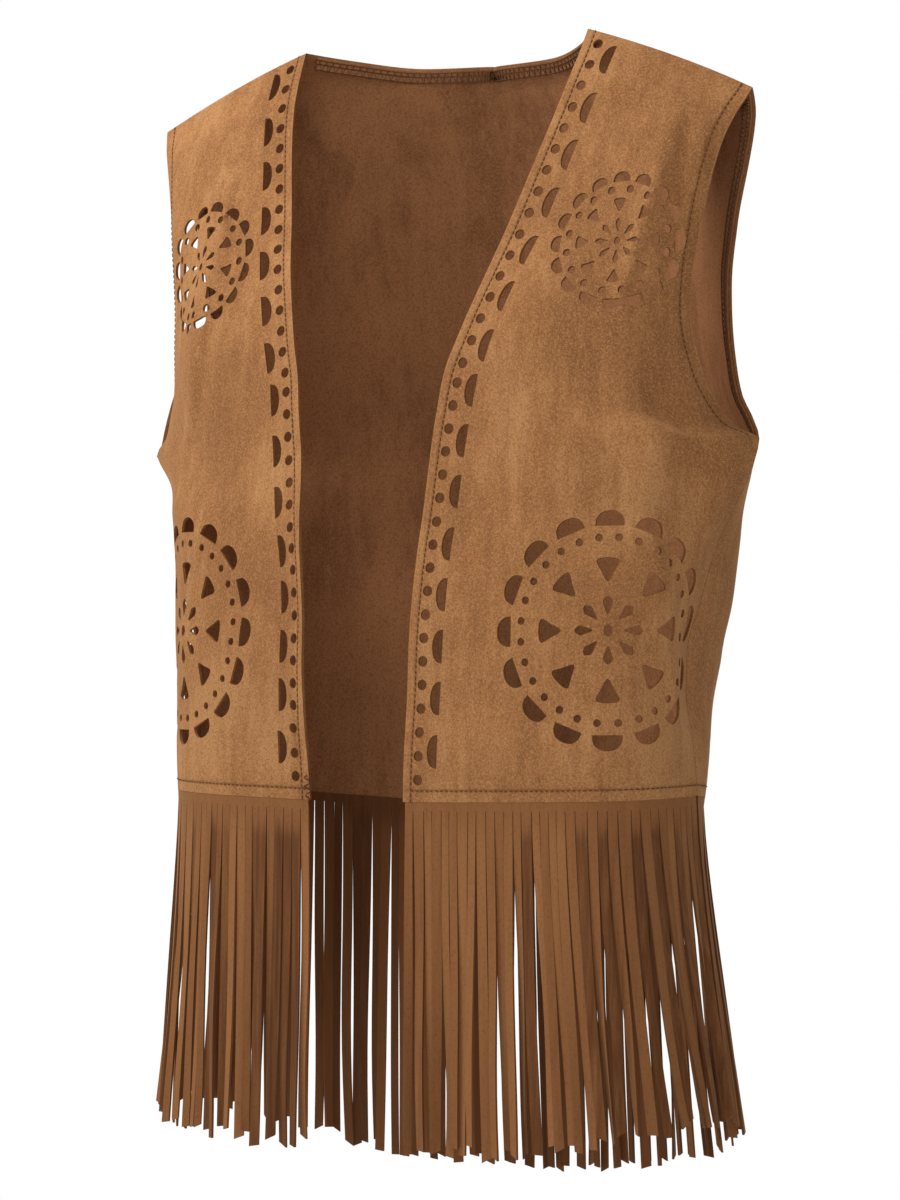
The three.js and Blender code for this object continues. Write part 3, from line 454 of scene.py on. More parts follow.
def openings(name):
    """Every opening of one front as a loop of (u, h)."""
    total = edge_run(name)[1][-1]
    jobs = []
    for spec, u, h in ROSETTES[name]:
        for shape in rosette(**spec):
            jobs.append((u, h, np.array((0.0, 0.0, 1.0)), shape))
    runs = (
        (DOT_COUNT, DOT_FIRST, DOT_ENDS, DOT_INSET, disc(DOT_RADIUS)),
        (MOON_COUNT, MOON_FIRST, MOON_ENDS, MOON_INSET, half_moon(MOON_LENGTH, MOON_DEPTH)),
    )
    for count, first, both, inset, shape in runs:
        lengths = total - first - np.arange(count) * (total - both) / (count - 1)
        for u, h, up in zip(*edge_frames(name, lengths, inset)):
            jobs.append((u, h, up, shape))
    sizes = [len(j[3]) for j in jobs]
    u = np.repeat([j[0] for j in jobs], sizes)
    h = np.repeat([j[1] for j in jobs], sizes)
    up = np.repeat(np.array([j[2] for j in jobs]), sizes, axis=0)
    shape = np.concatenate([j[3] for j in jobs])
    u, h = offset_points(name, u, h, up, shape[:, 0], shape[:, 1])
    ends = np.cumsum(sizes)[:-1]
    return [np.stack(pair, -1) for pair in zip(np.split(u, ends), np.split(h, ends))]


class FlatMap:
    """Flat map of a panel: distance across the section against height along it."""

    def __init__(self, name):
        self.name = name
        self.h = np.arange(0, TOP + 0.1, 2.5)
        self.tables = {}
        for sign in (1, -1):
            t = np.linspace(1e-6, 1, 41)
            uu, hh = np.meshgrid(t * sign, self.h)
            p = point_at(name, uu, hh)
            steps = np.linalg.norm(np.diff(p, axis=1), axis=2)
            run = np.concatenate([np.zeros((len(self.h), 1)), np.cumsum(steps, 1)], 1)
            start = np.abs(p[:, :1, 0]) if name == "back" else 0
            self.tables[sign] = run + start

    def flat(self, u, h):
        out = np.zeros_like(u)
        for sign in (1, -1):
            m = (u >= 0) if sign == 1 else (u < 0)
            a = np.clip(h[m] / 2.5, 0, len(self.h) - 1.001)
            b = np.clip(np.abs(u[m]) * 40, 0, 39.999)
            i, k = a.astype(int), b.astype(int)
            fa, fb = a - i, b - k
            t = self.tables[sign]
            low = t[i, k] * (1 - fb) + t[i, k + 1] * fb
            high = t[i + 1, k] * (1 - fb) + t[i + 1, k + 1] * fb
            out[m] = sign * (low * (1 - fa) + high * fa)
        return np.stack([out, h], -1)

    def back(self, x, h):
        low, high = np.zeros_like(x), np.ones_like(x)
        sign = np.where(x < 0, -1.0, 1.0)
        for _ in range(26):
            mid = (low + high) / 2
            less = np.abs(self.flat(sign * np.maximum(mid, 1e-9), h)[:, 0]) < np.abs(x)
            low, high = np.where(less, mid, low), np.where(less, high, mid)
        return sign * low


def outline(name, step):
    """Closed outline of a panel as (u, h), anticlockwise from the hem."""
    def ramp(a, b, spacing):
        return np.linspace(a, b, max(2, int(round(abs(b - a) / spacing)) + 1))

    def line(u, h):
        u, h = pair(u, h)
        return np.stack([u, h], -1)

    side = line(1.0, ramp(0, TOP, step))
    shoulder = line(ramp(1, 0, step / 110), TOP)
    if name != "back":
        front = line(0.0, ramp(TOP, 0, step))
        return np.concatenate([line(ramp(0, 1, step / 170), 0.0), side[1:], shoulder[1:], front[1:-1]])
    neck = line(1e-6, neck_height(np.linspace(1, 0, 30)))
    half = np.concatenate([side[1:], shoulder[1:-1], neck])
    other = (half * (-1, 1))[::-1][1:]
    return np.concatenate([line(ramp(-1, 1, step / 170), 0.0), half, other])


def inside_any(p, loops):
    """Which points lie in one of the loops (even-odd)."""
    hit = np.zeros(len(p), bool)
    for loop in loops:
        lo, hi = loop.min(0), loop.max(0)
        near = np.where(((p > lo) & (p < hi)).all(1) & ~hit)[0]
        if not len(near):
            continue
        q = p[near]
        a, b = loop, np.roll(loop, -1, axis=0)
        cross = (a[:, 1] > q[:, None, 1]) != (b[:, 1] > q[:, None, 1])
        with np.errstate(divide="ignore", invalid="ignore"):
            x = (b[:, 0] - a[:, 0]) * (q[:, None, 1] - a[:, 1]) / (b[:, 1] - a[:, 1]) + a[:, 0]
        hit[near] = ((cross & (q[:, None, 0] < x)).sum(1) % 2) == 1
    return hit


def nearest(p, q):
    """Distance from each p to the nearest q."""
    out = np.empty(len(p))
    for i in range(0, len(p), 800):
        d = p[i:i + 800, None, :] - q[None, :, :]
        out[i:i + 800] = np.sqrt((d * d).sum(-1).min(1))
    return out


def linked(name, data):
    obj = bpy.data.objects.new(name, data)
    bpy.context.scene.collection.objects.link(obj)
    return obj


def wall_mesh(name, points, normals, faces, wall, tones=None):
    """Closed wall round a middle surface. Faces: 0 outside, 1 inside, 2 cut edge."""
    n = len(points)
    verts = np.concatenate([points + normals * wall / 2, points - normals * wall / 2]) * MM
    faces = np.asarray(faces)
    pairs = np.concatenate([faces[:, [0, 1]], faces[:, [1, 2]], faces[:, [2, 0]]])
    code = pairs[:, 0] * (n + 1) + pairs[:, 1]
    back = pairs[:, 1] * (n + 1) + pairs[:, 0]
    rim = pairs[~np.isin(code, back)]
    polys = [tuple(f) for f in faces.tolist()]
    polys += [(c + n, b + n, a + n) for a, b, c in faces.tolist()]
    polys += [(b, a, a + n, b + n) for a, b in rim.tolist()]
    mesh = bpy.data.meshes.new(name)
    mesh.from_pydata(verts.tolist(), [], polys)
    kinds = np.repeat([0, 1, 2], [len(faces), len(faces), len(rim)])
    mesh.polygons.foreach_set("material_index", kinds.astype(np.int32))
    mesh.polygons.foreach_set("use_smooth", np.ones(len(polys), bool))
    rims = {(min(a, b), max(a, b)) for a, b in rim.tolist()}
    rims |= {(a + n, b + n) for a, b in rims}
    ends = np.empty(len(mesh.edges) * 2, np.int32)
    mesh.edges.foreach_get("vertices", ends)
    ends = np.sort(ends.reshape(-1, 2), axis=1)
    sharp = np.fromiter(((a, b) in rims for a, b in ends.tolist()), bool, len(ends))
    mesh.edges.foreach_set("use_edge_sharp", sharp)
    for key, values in (tones or {}).items():
        layer = mesh.attributes.new(key, "FLOAT", "POINT")
        layer.data.foreach_set("value", np.tile(values, 2).astype(np.float32))
    mesh.update()
    return linked(name, mesh)


def seam_place(name, u, h):
    """Panel points and normals, with sewn edges stepped back by half the seam's gap."""
    p, n = point_at(name, u, h), normal_at(name, u, h)
    side = (np.abs(u) > 0.999) & (h <= SIDE_TOP)
    top = h > TOP - 0.01
    inner = point_at(name, np.where(side, u * 0.97, u), np.where(top, TOP - 3, h))
    low, high = np.maximum(0, h - 1), np.minimum(TOP, h + 1)
    reach = np.maximum(np.abs(u), 1e-6)
    sign = np.where(u < 0, -1.0, 1.0)
    up = point_at(name, u, high) - point_at(name, u, low)
    wider, nearer = sign * np.minimum(1, reach + 0.01), sign * np.maximum(1e-6, reach - 0.01)
    span = point_at(name, wider, h) - point_at(name, nearer, h)
    along = np.where(side[:, None], up, span)
    across = facing(unit(np.cross(along, n)), inner - p)
    return p + across * np.where(side | top, SEAM_GAP / 2, 0.0)[:, None], n


def panel_object(name, spacing, wall):
    """One cloth panel with its cutwork, as a fine closed wall."""
    flat = FlatMap(name)
    loops = [outline(name, spacing)] + ([] if name == "back" else openings(name))
    flats = [flat.flat(loop[:, 0], loop[:, 1]) for loop in loops]
    rng = np.random.default_rng(GRID_SEED)
    lo, hi = flats[0].min(0), flats[0].max(0)
    xs, ys = np.meshgrid(np.arange(lo[0], hi[0], spacing), np.arange(lo[1], hi[1], spacing * 0.87))
    xs[1::2] += spacing / 2
    grid = np.stack([xs.ravel(), ys.ravel()], -1) + rng.uniform(-0.15, 0.15, (xs.size, 2)) * spacing
    grid = grid[inside_any(grid, flats[:1])]
    rim = np.concatenate(flats)
    grid = grid[nearest(grid, rim) > spacing * 0.45]
    if len(flats) > 1:
        grid = grid[~inside_any(grid, flats[1:])]
    points = np.concatenate([rim, grid])
    edges, start = [], 0
    for loop in flats:
        n = len(loop)
        edges += [(start + i, start + (i + 1) % n) for i in range(n)]
        start += n
    out = delaunay_2d_cdt([Vector(p) for p in points.tolist()], edges, [], 1, 1e-5)
    co = np.array([tuple(v) for v in out[0]])
    faces = np.array([f for f in out[2] if len(f) == 3])
    faces = faces[~inside_any(co[faces].mean(1), flats[1:])] if len(flats) > 1 else faces
    faces = faces[inside_any(co[faces].mean(1), flats[:1])]
    source = np.array([o[0] if o else -1 for o in out[3]])
    u = np.concatenate([l[:, 0] for l in loops] + [flat.back(grid[:, 0], grid[:, 1])])
    h = np.concatenate([l[:, 1] for l in loops] + [grid[:, 1]])
    if (source < 0).any():
        raise RuntimeError(f"{name}: the outline crosses an opening")
    used = np.unique(faces)
    remap = np.full(len(co), -1)
    remap[used] = np.arange(len(used))
    faces, source = remap[faces], source[used]
    u, h = u[source], h[source]
    p, n = point_at(name, u, h), normal_at(name, u, h)
    on_rim = source < len(flats[0])
    p[on_rim], n[on_rim] = seam_place(name, u[on_rim], h[on_rim])
    # Seen from outside, u runs leftwards on the other two, so their flat map is mirrored.
    if name != "left_front":
        faces = faces[:, ::-1]
    return wall_mesh(name + "_cloth", p, n, faces, wall, edge_gaps(name, p))


def edge_gaps(name, p):
    """Distance of each point from the front or neck edge, the armholes and the hem."""
    hem_u, arm_h = np.linspace(0, 1, 200), np.linspace(SIDE_TOP, TOP, 120)
    neck_h, ends, middle = np.linspace(0, TOP, 260), (1,), (0.0,)
    if name == "back":
        hem_u, ends, middle = np.linspace(-1, 1, 200), (1, -1), (1e-6, -1e-6)
        neck_h = neck_height(np.linspace(0, 1, 120))
    fronts = [point_at(name, np.full(len(neck_h), s), neck_h) for s in middle]
    arms = [point_at(name, np.full(len(arm_h), s), arm_h) for s in ends]
    return {
        "front_gap": nearest(p, np.concatenate(fronts)),
        "arm_gap": nearest(p, np.concatenate(arms)),
        "hem_gap": nearest(p, point_at(name, hem_u, np.zeros(200))),
    }


# How many strands, height of the tips, their rise at the side, their spread, random seed.
FRINGE_RUNS = {
    "right_front": dict(count=32, tip=-601, side_rise=18, spread=9, seed=5),
    "left_front": dict(count=33, tip=-600, side_rise=18, spread=9, seed=8),
    "back": dict(count=70, tip=-622, side_rise=37, spread=8, seed=3),
}
STRAND_STEPS = 11  # cross-sections of a strand below its root
FRINGE_MARGIN = 1.2  # hem left free at each end
FRINGE_TUCK = 0.9  # how far the band reaches up inside the panel
SIDE_X = 168  # distance of the hem's side from the middle

# Fall of a strand down to its tip, in millimetres and degrees. Chance adds up to the second
# value either way; the wave and the large twist lie between their two values.
AWAY, AWAY_CHANCE = 1.6, 1.4
SWAY, SWAY_CHANCE = 1.6, 2.2
TIP_CHANCE = 0.45
LEFT_FLARE = 1.5  # the wearer's left side flares this much more
SMALL_TWIST, LARGE_TWIST, SMALL_TWIST_SHARE = 28, (45, 80), 0.8
WAVE = (0.3, 1.5)
TIP_SLANT = 1.5
BACK_BOW, FRONT_BOW = 4, -1.5  # how far the tips of the back and the fronts lie behind the hem


def fringe_object(name, sizes):
    """Backing band and cut strands of one panel's fringe, in one closed mesh."""
    run = FRINGE_RUNS[name]
    rng = random.Random(run["seed"])
    start = -1.0 if name == "back" else 0.0
    us = np.linspace(start, 1, 400)
    hem = point_at(name, us, np.zeros_like(us))
    length = run_length(hem)
    total = length[-1]
    cuts = np.cumsum([0] + [rng.uniform(0.8, 1.2) for _ in range(run["count"])])
    cuts *= (total - 2 * FRINGE_MARGIN) / cuts[-1]
    points, normals, faces, tone = [], [], [], []

    def add(p, n, t):
        points.append(p)
        normals.append(n)
        tone.append(t)
        return len(points) - 1

    def quad(a, b, c, d):
        faces.extend([(a, b, c), (a, c, d)] if name == "left_front" else [(a, c, b), (a, d, c)])

    def either(reach):
        return rng.uniform(-reach, reach)

    last = None
    for i in range(run["count"]):
        mid_s = FRINGE_MARGIN + (cuts[i] + cuts[i + 1]) / 2
        half = (cuts[i + 1] - cuts[i]) * sizes.strand_fill / 2
        ends = []
        for s in (mid_s - half, mid_s + half):
            u = np.array([np.interp(s, length, us)])
            p = point_at(name, u, np.zeros(1))[0]
            down = unit(p - point_at(name, u, np.full(1, 2.0))[0])
            n = normal_at(name, u, np.zeros(1))[0]
            foot = p + down * sizes.strip / MM
            ends.append((add(p - down * FRINGE_TUCK, n, 0.5), add(foot, n, 0.5), foot, n))
        left, right = ends
        quad(left[1], right[1], right[0], left[0])
        if last:
            quad(last[1], left[1], left[0], last[0])
        last = right
        mid, n0 = (left[2] + right[2]) / 2, left[3]
        width = right[2] - left[2]
        grow = min(1.0, sizes.strand_width / MM / np.linalg.norm(width))
        out_x = min(1.05, abs(mid[0]) / SIDE_X) ** 2.2
        flare = sizes.flare / MM * (LEFT_FLARE if mid[0] > 0 else 1)
        spread = flare * out_x * math.copysign(1, mid[0])
        away = (AWAY if i % 2 else -AWAY) + either(AWAY_CHANCE)
        tip = run["tip"] + run["side_rise"] * out_x**1.5 + run["spread"] * either(TIP_CHANCE)
        sway = SWAY * math.sin(i * 0.55) + either(SWAY_CHANCE)
        far = rng.random() >= SMALL_TWIST_SHARE
        twist = math.radians(rng.choice((-1, 1)) * rng.uniform(*LARGE_TWIST) if far else either(SMALL_TWIST))
        wave, phase = rng.uniform(*WAVE), rng.uniform(0, 6.28)
        shade = rng.random()
        slant = either(TIP_SLANT)
        prev = (left[1], right[1])
        for k in range(1, STRAND_STEPS + 1):
            t = k / STRAND_STEPS
            c = mid.copy()
            c[2] = mid[2] + (tip - mid[2]) * t
            c[0] += spread * t**1.3
            c[1] += BACK_BOW * t * t if mid[1] > 0 else FRONT_BOW * t
            c = c + n0 * (away * t + wave * math.sin(phase + 5 * t) * t)
            c = c + unit(width) * (sway * t + wave * 0.8 * math.sin(phase * 2 + 6.5 * t) * t)
            angle = twist * t**1.4
            ca, sa = math.cos(angle), math.sin(angle)
            turn = np.array(((ca, -sa, 0), (sa, ca, 0), (0, 0, 1)))
            w, n = turn @ width * (1 + (grow - 1) * min(1, 3 * t)), turn @ n0
            a, b = c - w / 2, c + w / 2
            if k == STRAND_STEPS:
                a[2] -= slant
                b[2] += slant
            nxt = (add(a, n, shade), add(b, n, shade))
            quad(nxt[0], nxt[1], prev[1], prev[0])
            prev = nxt
    points, normals, values = np.array(points), np.array(normals), {"tone": np.array(tone)}
    return wall_mesh(f"fringe_{name}_cloth", points, normals, faces, sizes.strand_wall / MM, values)


# Materials

def srgb(r, g, b):
    def one(c):
        c /= 255
        return c / 12.92 if c <= 0.04045 else ((c + 0.055) / 1.055) ** 2.4
    return (one(r), one(g), one(b), 1.0)


class Nodes:
    """A few short calls for building a material's tree."""

    def __init__(self, name):
        self.mat = bpy.data.materials.new(name)
        self.mat.use_nodes = True
        self.tree = self.mat.node_tree
        self.shader = self.tree.nodes["Principled BSDF"]
        self.coords = self.new("ShaderNodeTexCoord").outputs["Object"]

    def new(self, kind, **props):
        node = self.tree.nodes.new(kind)
        for key, value in props.items():
            setattr(node, key, value)
        return node

    def put(self, value, socket):
        if isinstance(value, bpy.types.NodeSocket):
            self.tree.links.new(value, socket)
        else:
            socket.default_value = value

    def math(self, op, a, b=0.0, clamp=False):
        node = self.new("ShaderNodeMath", operation=op, use_clamp=clamp)
        for value, socket in zip((a, b), node.inputs):
            self.put(value, socket)
        return node.outputs[0]

    def noise(self, scale, detail=3.0, rough=0.55, stretch=None):
        vector = self.coords
        if stretch:
            mapping = self.new("ShaderNodeMapping")
            self.put(vector, mapping.inputs["Vector"])
            mapping.inputs["Scale"].default_value = stretch
            vector = mapping.outputs[0]
        node = self.new("ShaderNodeTexNoise")
        self.put(vector, node.inputs["Vector"])
        for key, value in (("Scale", scale), ("Detail", detail), ("Roughness", rough)):
            node.inputs[key].default_value = value
        return node.outputs["Fac"]

    def band(self, value, centre, width):
        """1 at the centre, 0 beyond the width."""
        off = self.math("ABSOLUTE", self.math("SUBTRACT", value, centre))
        return self.math("SUBTRACT", 1.0, self.math("DIVIDE", off, width), clamp=True)

    def mix(self, fac, a, b):
        node = self.new("ShaderNodeMix", data_type="RGBA")
        self.put(fac, node.inputs["Factor"])
        self.put(a, node.inputs["A"])
        self.put(b, node.inputs["B"])
        return node.outputs["Result"]

    def ramp(self, value, low, high):
        node = self.new("ShaderNodeMapRange")
        self.put(value, node.inputs["Value"])
        node.inputs["From Min"].default_value = low
        node.inputs["From Max"].default_value = high
        return node.outputs[0]

    def attribute(self, name):
        return self.new("ShaderNodeAttribute", attribute_name=name).outputs["Fac"]

    def finish(self, colour, rough, height, strength, depth, sheen):
        self.put(colour, self.shader.inputs["Base Color"])
        self.shader.inputs["Roughness"].default_value = rough
        self.shader.inputs["Specular IOR Level"].default_value = 0.12
        self.shader.inputs["Sheen Weight"].default_value = sheen
        self.shader.inputs["Sheen Roughness"].default_value = 0.45
        self.shader.inputs["Sheen Tint"].default_value = srgb(226, 178, 128)
        bump = self.new("ShaderNodeBump")
        bump.inputs["Strength"].default_value = strength
        bump.inputs["Distance"].default_value = depth
        self.put(height, bump.inputs["Height"])
        self.put(bump.outputs[0], self.shader.inputs["Normal"])
        return self.mat


def suede(name, light, mid, dark, edges=True, sheen=0.35):
    """Napped suede: cloudy colour, brushed streaks, fine nap, and grooves along the sewn edges with painted
    shade in them, plus a painted highlight along the front, neck and armhole edges.
    """
    n = Nodes(name)
    cloud = n.noise(15, 5, 0.6, stretch=(1, 1, 0.6))
    streak = n.noise(1.0, 3, 0.6, stretch=(160, 160, 26))
    nap = n.noise(1500, 2, 0.7)
    grain = n.noise(850, 3, 0.7)
    tone = n.math("ADD", n.math("MULTIPLY", cloud, 0.7), n.math("MULTIPLY", streak, 0.3))
    # Pattern, its values where the tint starts and is full, share of the tint, tint.
    tints = (
        (tone, 0.5, 0.6, 0.6, light),
        (tone, 0.5, 0.4, 0.6, dark),
        (grain, 0.5, 0.64, 0.5, light),
        (grain, 0.5, 0.36, 0.55, dark),
        (nap, 0.5, 0.75, 0.6, light),
        (nap, 0.5, 0.25, 0.6, dark),
    )
    colour = mid
    for pattern, low, high, share, tint in tints:
        colour = n.mix(n.math("MULTIPLY", n.ramp(pattern, low, high), share), colour, tint)
    height = n.math("ADD", n.math("MULTIPLY", nap, 0.35), n.math("MULTIPLY", grain, 0.5))
    if edges:
        front, arm, hem = (n.attribute(k) for k in ("front_gap", "arm_gap", "hem_gap"))
        groove = n.math("MAXIMUM", n.band(front, FRONT_LINE, 1.3), n.band(arm, ARM_LINE, 1.3))
        groove = n.math("MAXIMUM", groove, n.band(hem, HEM_LINE, 1.3))
        rim = n.math("MAXIMUM", n.band(front, 0.0, 1.4), n.band(arm, 0.0, 1.4))
        # Painted shade darkens the stitch grooves, and a painted highlight lightens the front, neck and
        # armhole edges.
        colour = n.mix(n.math("MULTIPLY", groove, 0.5), colour, dark)
        colour = n.mix(n.math("MULTIPLY", rim, 0.4), colour, light)
        height = n.math("SUBTRACT", height, n.math("MULTIPLY", groove, 1.6))
    return n.finish(colour, 0.93, height, strength=0.32, depth=0.0005, sheen=sheen)


def strand_suede(name, light, mid, dark):
    """Cut strands: one shade each from the tone attribute, with streaks down their length."""
    n = Nodes(name)
    tone = n.attribute("tone")
    streak = n.noise(1.0, 3, 0.6, stretch=(420, 420, 16))
    grain = n.noise(700, 3, 0.65)
    value = n.math("ADD", n.math("MULTIPLY", tone, 0.55), n.math("MULTIPLY", streak, 0.45))
    colour = n.mix(n.ramp(value, 0.25, 0.75), mid, light)
    colour = n.mix(n.ramp(value, 0.38, 0.12), colour, dark)
    colour = n.mix(n.math("MULTIPLY", n.ramp(grain, 0.5, 0.3), 0.3), colour, dark)
    return n.finish(colour, 0.94, grain, strength=0.3, depth=0.0004, sheen=0.25)


def dimmed(colour, share):
    return tuple(share * c for c in colour[:3]) + (1,)


def make_materials(colours):
    c = {key: tuple(getattr(colours, key)) for key in VestColours.__annotations__}
    inside, deep = c["inside"], c["inside_dark"]
    return {
        "outside": suede("suede_outside", c["light"], c["mid"], c["dark"]),
        "inside": suede("suede_inside", inside, dimmed(inside, 0.8), deep, False, 0.15),
        "cut": suede("suede_cut_edge", c["mid"], c["dark"], deep, False, 0.1),
        "strand": strand_suede("strand_face", c["strand_light"], c["strand"], c["strand_dark"]),
        "strand_inside": strand_suede("strand_back", c["strand"], c["strand_dark"], deep),
        "thread": thread_material(c["thread"]),
        "overlock": thread_material(c["overlock"]),
    }


def thread_material(colour):
    n = Nodes("sewing_thread")
    twist = n.noise(2600, 2, 0.5)
    shade = n.mix(n.ramp(twist, 0.35, 0.65), dimmed(colour, 0.6), colour)
    return n.finish(shade, 0.7, twist, strength=0.3, depth=0.0002, sheen=0.1)


# Threads

def path_object(name, runs):
    """One curve object with a poly spline for each run of points in millimetres."""
    curve = bpy.data.curves.new(name, "CURVE")
    curve.dimensions = "3D"
    for run in runs:
        spline = curve.splines.new("POLY")
        spline.points.add(len(run) - 1)
        co = np.concatenate([np.asarray(run) * MM, np.ones((len(run), 1))], axis=1)
        spline.points.foreach_set("co", co.ravel())
    return linked(name, curve)


def open_tree(name, material, lengths):
    """Node tree from a path and a few lengths to a realized and painted mesh, its middle still open."""
    tree = bpy.data.node_groups.new(name, "GeometryNodeTree")
    face = tree.interface
    face.new_socket("Path", in_out="INPUT", socket_type="NodeSocketGeometry")
    sockets = {}
    for key, default in lengths:
        socket = face.new_socket(key, in_out="INPUT", socket_type="NodeSocketFloat")
        socket.subtype, socket.default_value = "DISTANCE", default
        sockets[key] = socket.identifier
    face.new_socket("Mesh", in_out="OUTPUT", socket_type="NodeSocketGeometry")
    new, link = tree.nodes.new, tree.links.new
    start, end = new("NodeGroupInput"), new("NodeGroupOutput")
    real, paint = new("GeometryNodeRealizeInstances"), new("GeometryNodeSetMaterial")
    paint.inputs["Material"].default_value = material
    link(real.outputs[0], paint.inputs["Geometry"])
    link(paint.outputs[0], end.inputs[0])
    return tree, sockets, start.outputs, real.inputs[0]


def stitch_tree(material):
    """Geometry nodes that lay one short stitch after another along each path."""
    lengths = (("Pitch", 0.0032), ("Length", 0.0025), ("Radius", 0.00035))
    tree, sockets, given, result = open_tree("stitches", material, lengths)
    new, link = tree.nodes.new, tree.links.new
    again = new("GeometryNodeResampleCurve")
    again.mode = "LENGTH"
    dots = new("GeometryNodeCurveToPoints")
    dots.mode = "EVALUATED"
    turn = new("FunctionNodeAlignRotationToVector")
    turn.axis = "Z"
    ball = new("GeometryNodeMeshUVSphere")
    for key, value in (("Segments", 6), ("Rings", 4), ("Radius", 1.0)):
        ball.inputs[key].default_value = value
    size, half = new("ShaderNodeCombineXYZ"), new("ShaderNodeMath")
    half.operation, half.inputs[1].default_value = "MULTIPLY", 0.5
    place = new("GeometryNodeInstanceOnPoints")
    link(given["Path"], again.inputs["Curve"])
    link(given["Pitch"], again.inputs["Length"])
    link(again.outputs[0], dots.inputs[0])
    link(dots.outputs["Tangent"], turn.inputs["Vector"])
    link(given["Length"], half.inputs[0])
    link(given["Radius"], size.inputs[0])
    link(given["Radius"], size.inputs[1])
    link(half.outputs[0], size.inputs[2])
    link(dots.outputs["Points"], place.inputs["Points"])
    link(ball.outputs["Mesh"], place.inputs["Instance"])
    link(turn.outputs[0], place.inputs["Rotation"])
    link(size.outputs[0], place.inputs["Scale"])
    link(place.outputs[0], result)
    return tree, sockets


def thread_tree(material):
    """Geometry nodes that run a round thread along each path."""
    tree, sockets, given, result = open_tree("running_thread", material, (("Radius", 0.0003),))
    new, link = tree.nodes.new, tree.links.new
    ring, tube = new("GeometryNodeCurvePrimitiveCircle"), new("GeometryNodeCurveToMesh")
    ring.inputs["Resolution"].default_value = 5
    tube.inputs["Fill Caps"].default_value = True
    link(given["Path"], tube.inputs["Curve"])
    link(given["Radius"], ring.inputs["Radius"])
    link(ring.outputs[0], tube.inputs["Profile Curve"])
    link(tube.outputs[0], result)
    return tree, sockets


def grown(name, runs, tree, sockets, material, **values):
    """Plain mesh of a node tree's result on some paths."""
    path = path_object(name + "_path", runs)
    modifier = path.modifiers.new("grow", "NODES")
    modifier.node_group = tree
    for key, value in values.items():
        modifier[sockets[key]] = value
    depsgraph = bpy.context.evaluated_depsgraph_get()
    mesh = bpy.data.meshes.new_from_object(path.evaluated_get(depsgraph))
    if not len(mesh.polygons):
        raise RuntimeError(f"{name}: the node tree made nothing")
    mesh.polygons.foreach_set("use_smooth", np.ones(len(mesh.polygons), bool))
    if not mesh.materials:
        mesh.materials.append(material)
    bpy.data.objects.remove(path)
    return linked(name, mesh)


def inset_run(name, u, hs, inset, lift):
    """Path at an inset from the edge where u is 0, 1 or -1, lifted off the cloth along its normal."""
    hs = np.asarray(hs, float)
    us = np.full(len(hs), u)
    low, high = np.maximum(hs - 1, 0), np.minimum(hs + 1, TOP)
    up = unit(point_at(name, us, high) - point_at(name, us, low))
    inward = -u if u else 1
    across = np.full(len(hs), float(inset) * inward)
    a, b = offset_points(name, us, np.clip(hs, 0.6, TOP - 0.6), up, across, np.zeros(len(hs)), 5)
    return point_at(name, a, b) + normal_at(name, a, b) * lift


def neck_run(inset, lift, count=90):
    """Path below the back's neck edge, from the right shoulder to the left one.

    The normals come from a little lower, where the surface is regular, and are evened out."""
    t = np.linspace(-0.95, 0.95, count)
    hs = neck_height(t)
    p = point_at("back", np.where(t < 0, -1e-6, 1e-6), hs)
    below = np.where(t < 0, -1, 1) * np.maximum(np.abs(p[:, 0]) / 190, 0.01)
    n = normal_at("back", below, np.full(count, NECK_FOOT - 4.0))
    for _ in range(12):
        n[1:-1] = unit(n[:-2] + 2 * n[1:-1] + n[2:])
    down = unit(np.cross(unit(np.gradient(p, axis=0)), n))
    return p + down * np.where(down[:, 2:] > 0, -1, 1) * inset + n * lift


def band_object(name, rows, thick):
    """Narrow strip of cloth that follows a few paths side by side."""
    n = len(rows[0])
    p = np.concatenate(rows)
    along = np.concatenate([np.gradient(r, axis=0) for r in rows])
    side = np.concatenate([rows[1] - rows[0]] * len(rows))
    normal = unit(np.cross(along, side))
    faces = []
    for k in range(len(rows) - 1):
        for i in range(n - 1):
            a, b, c, d = k * n + i, k * n + i + 1, (k + 1) * n + i + 1, (k + 1) * n + i
            faces += [(a, b, c), (a, c, d)]
    return wall_mesh(name, p, normal, faces, thick)


# Sizes and colours a user would change

def length_prop(label, about, value, low, high):
    return bpy.props.FloatProperty(
        name=label, description=about, default=value, min=low, max=high, unit="LENGTH")


def share_prop(label, about, value, low, high):
    return bpy.props.FloatProperty(
        name=label, description=about, default=value, min=low, max=high, subtype="FACTOR")


def colour_prop(label, about, value):
    return bpy.props.FloatVectorProperty(
        name=label, description=about, default=value, size=4, min=0, max=1, subtype="COLOR")


class VestSizes(bpy.types.PropertyGroup):
    wall: length_prop("Cloth thickness", "Thickness of the suede panels", 0.0015, 0.0005, 0.004)
    front_mesh: length_prop("Front mesh step", "Spacing of the points in the fronts", 0.0036, 0.002, 0.02)
    back_mesh: length_prop("Back mesh step", "Spacing of the points in the back", 0.0055, 0.002, 0.02)
    strip: length_prop("Fringe band", "Height of the band that holds the strands", 0.005, 0.002, 0.03)
    strand_width: length_prop("Strand width", "Width of a cut strand below its root", 0.0056, 0.001, 0.02)
    strand_wall: length_prop("Strand thickness", "Thickness of a cut strand", 0.0012, 0.0005, 0.004)
    strand_fill: share_prop("Strand fill", "Share of the band that a strand's root takes", 0.94, 0.3, 0.95)
    flare: length_prop("Fringe flare", "How far the tips stand out at the sides", 0.015, 0, 0.05)
    stitch_pitch: length_prop("Stitch pitch", "Distance from one stitch to the next", 0.0031, 0.001, 0.01)
    stitch_length: length_prop("Stitch length", "Visible length of a stitch", 0.0024, 0.0005, 0.01)
    thread_radius: length_prop("Thread radius", "Radius of the sewing thread", 0.0003, 0.0001, 0.001)
    overlock_width: length_prop("Overlock width", "Width of the seam allowance", 0.0075, 0.002, 0.02)


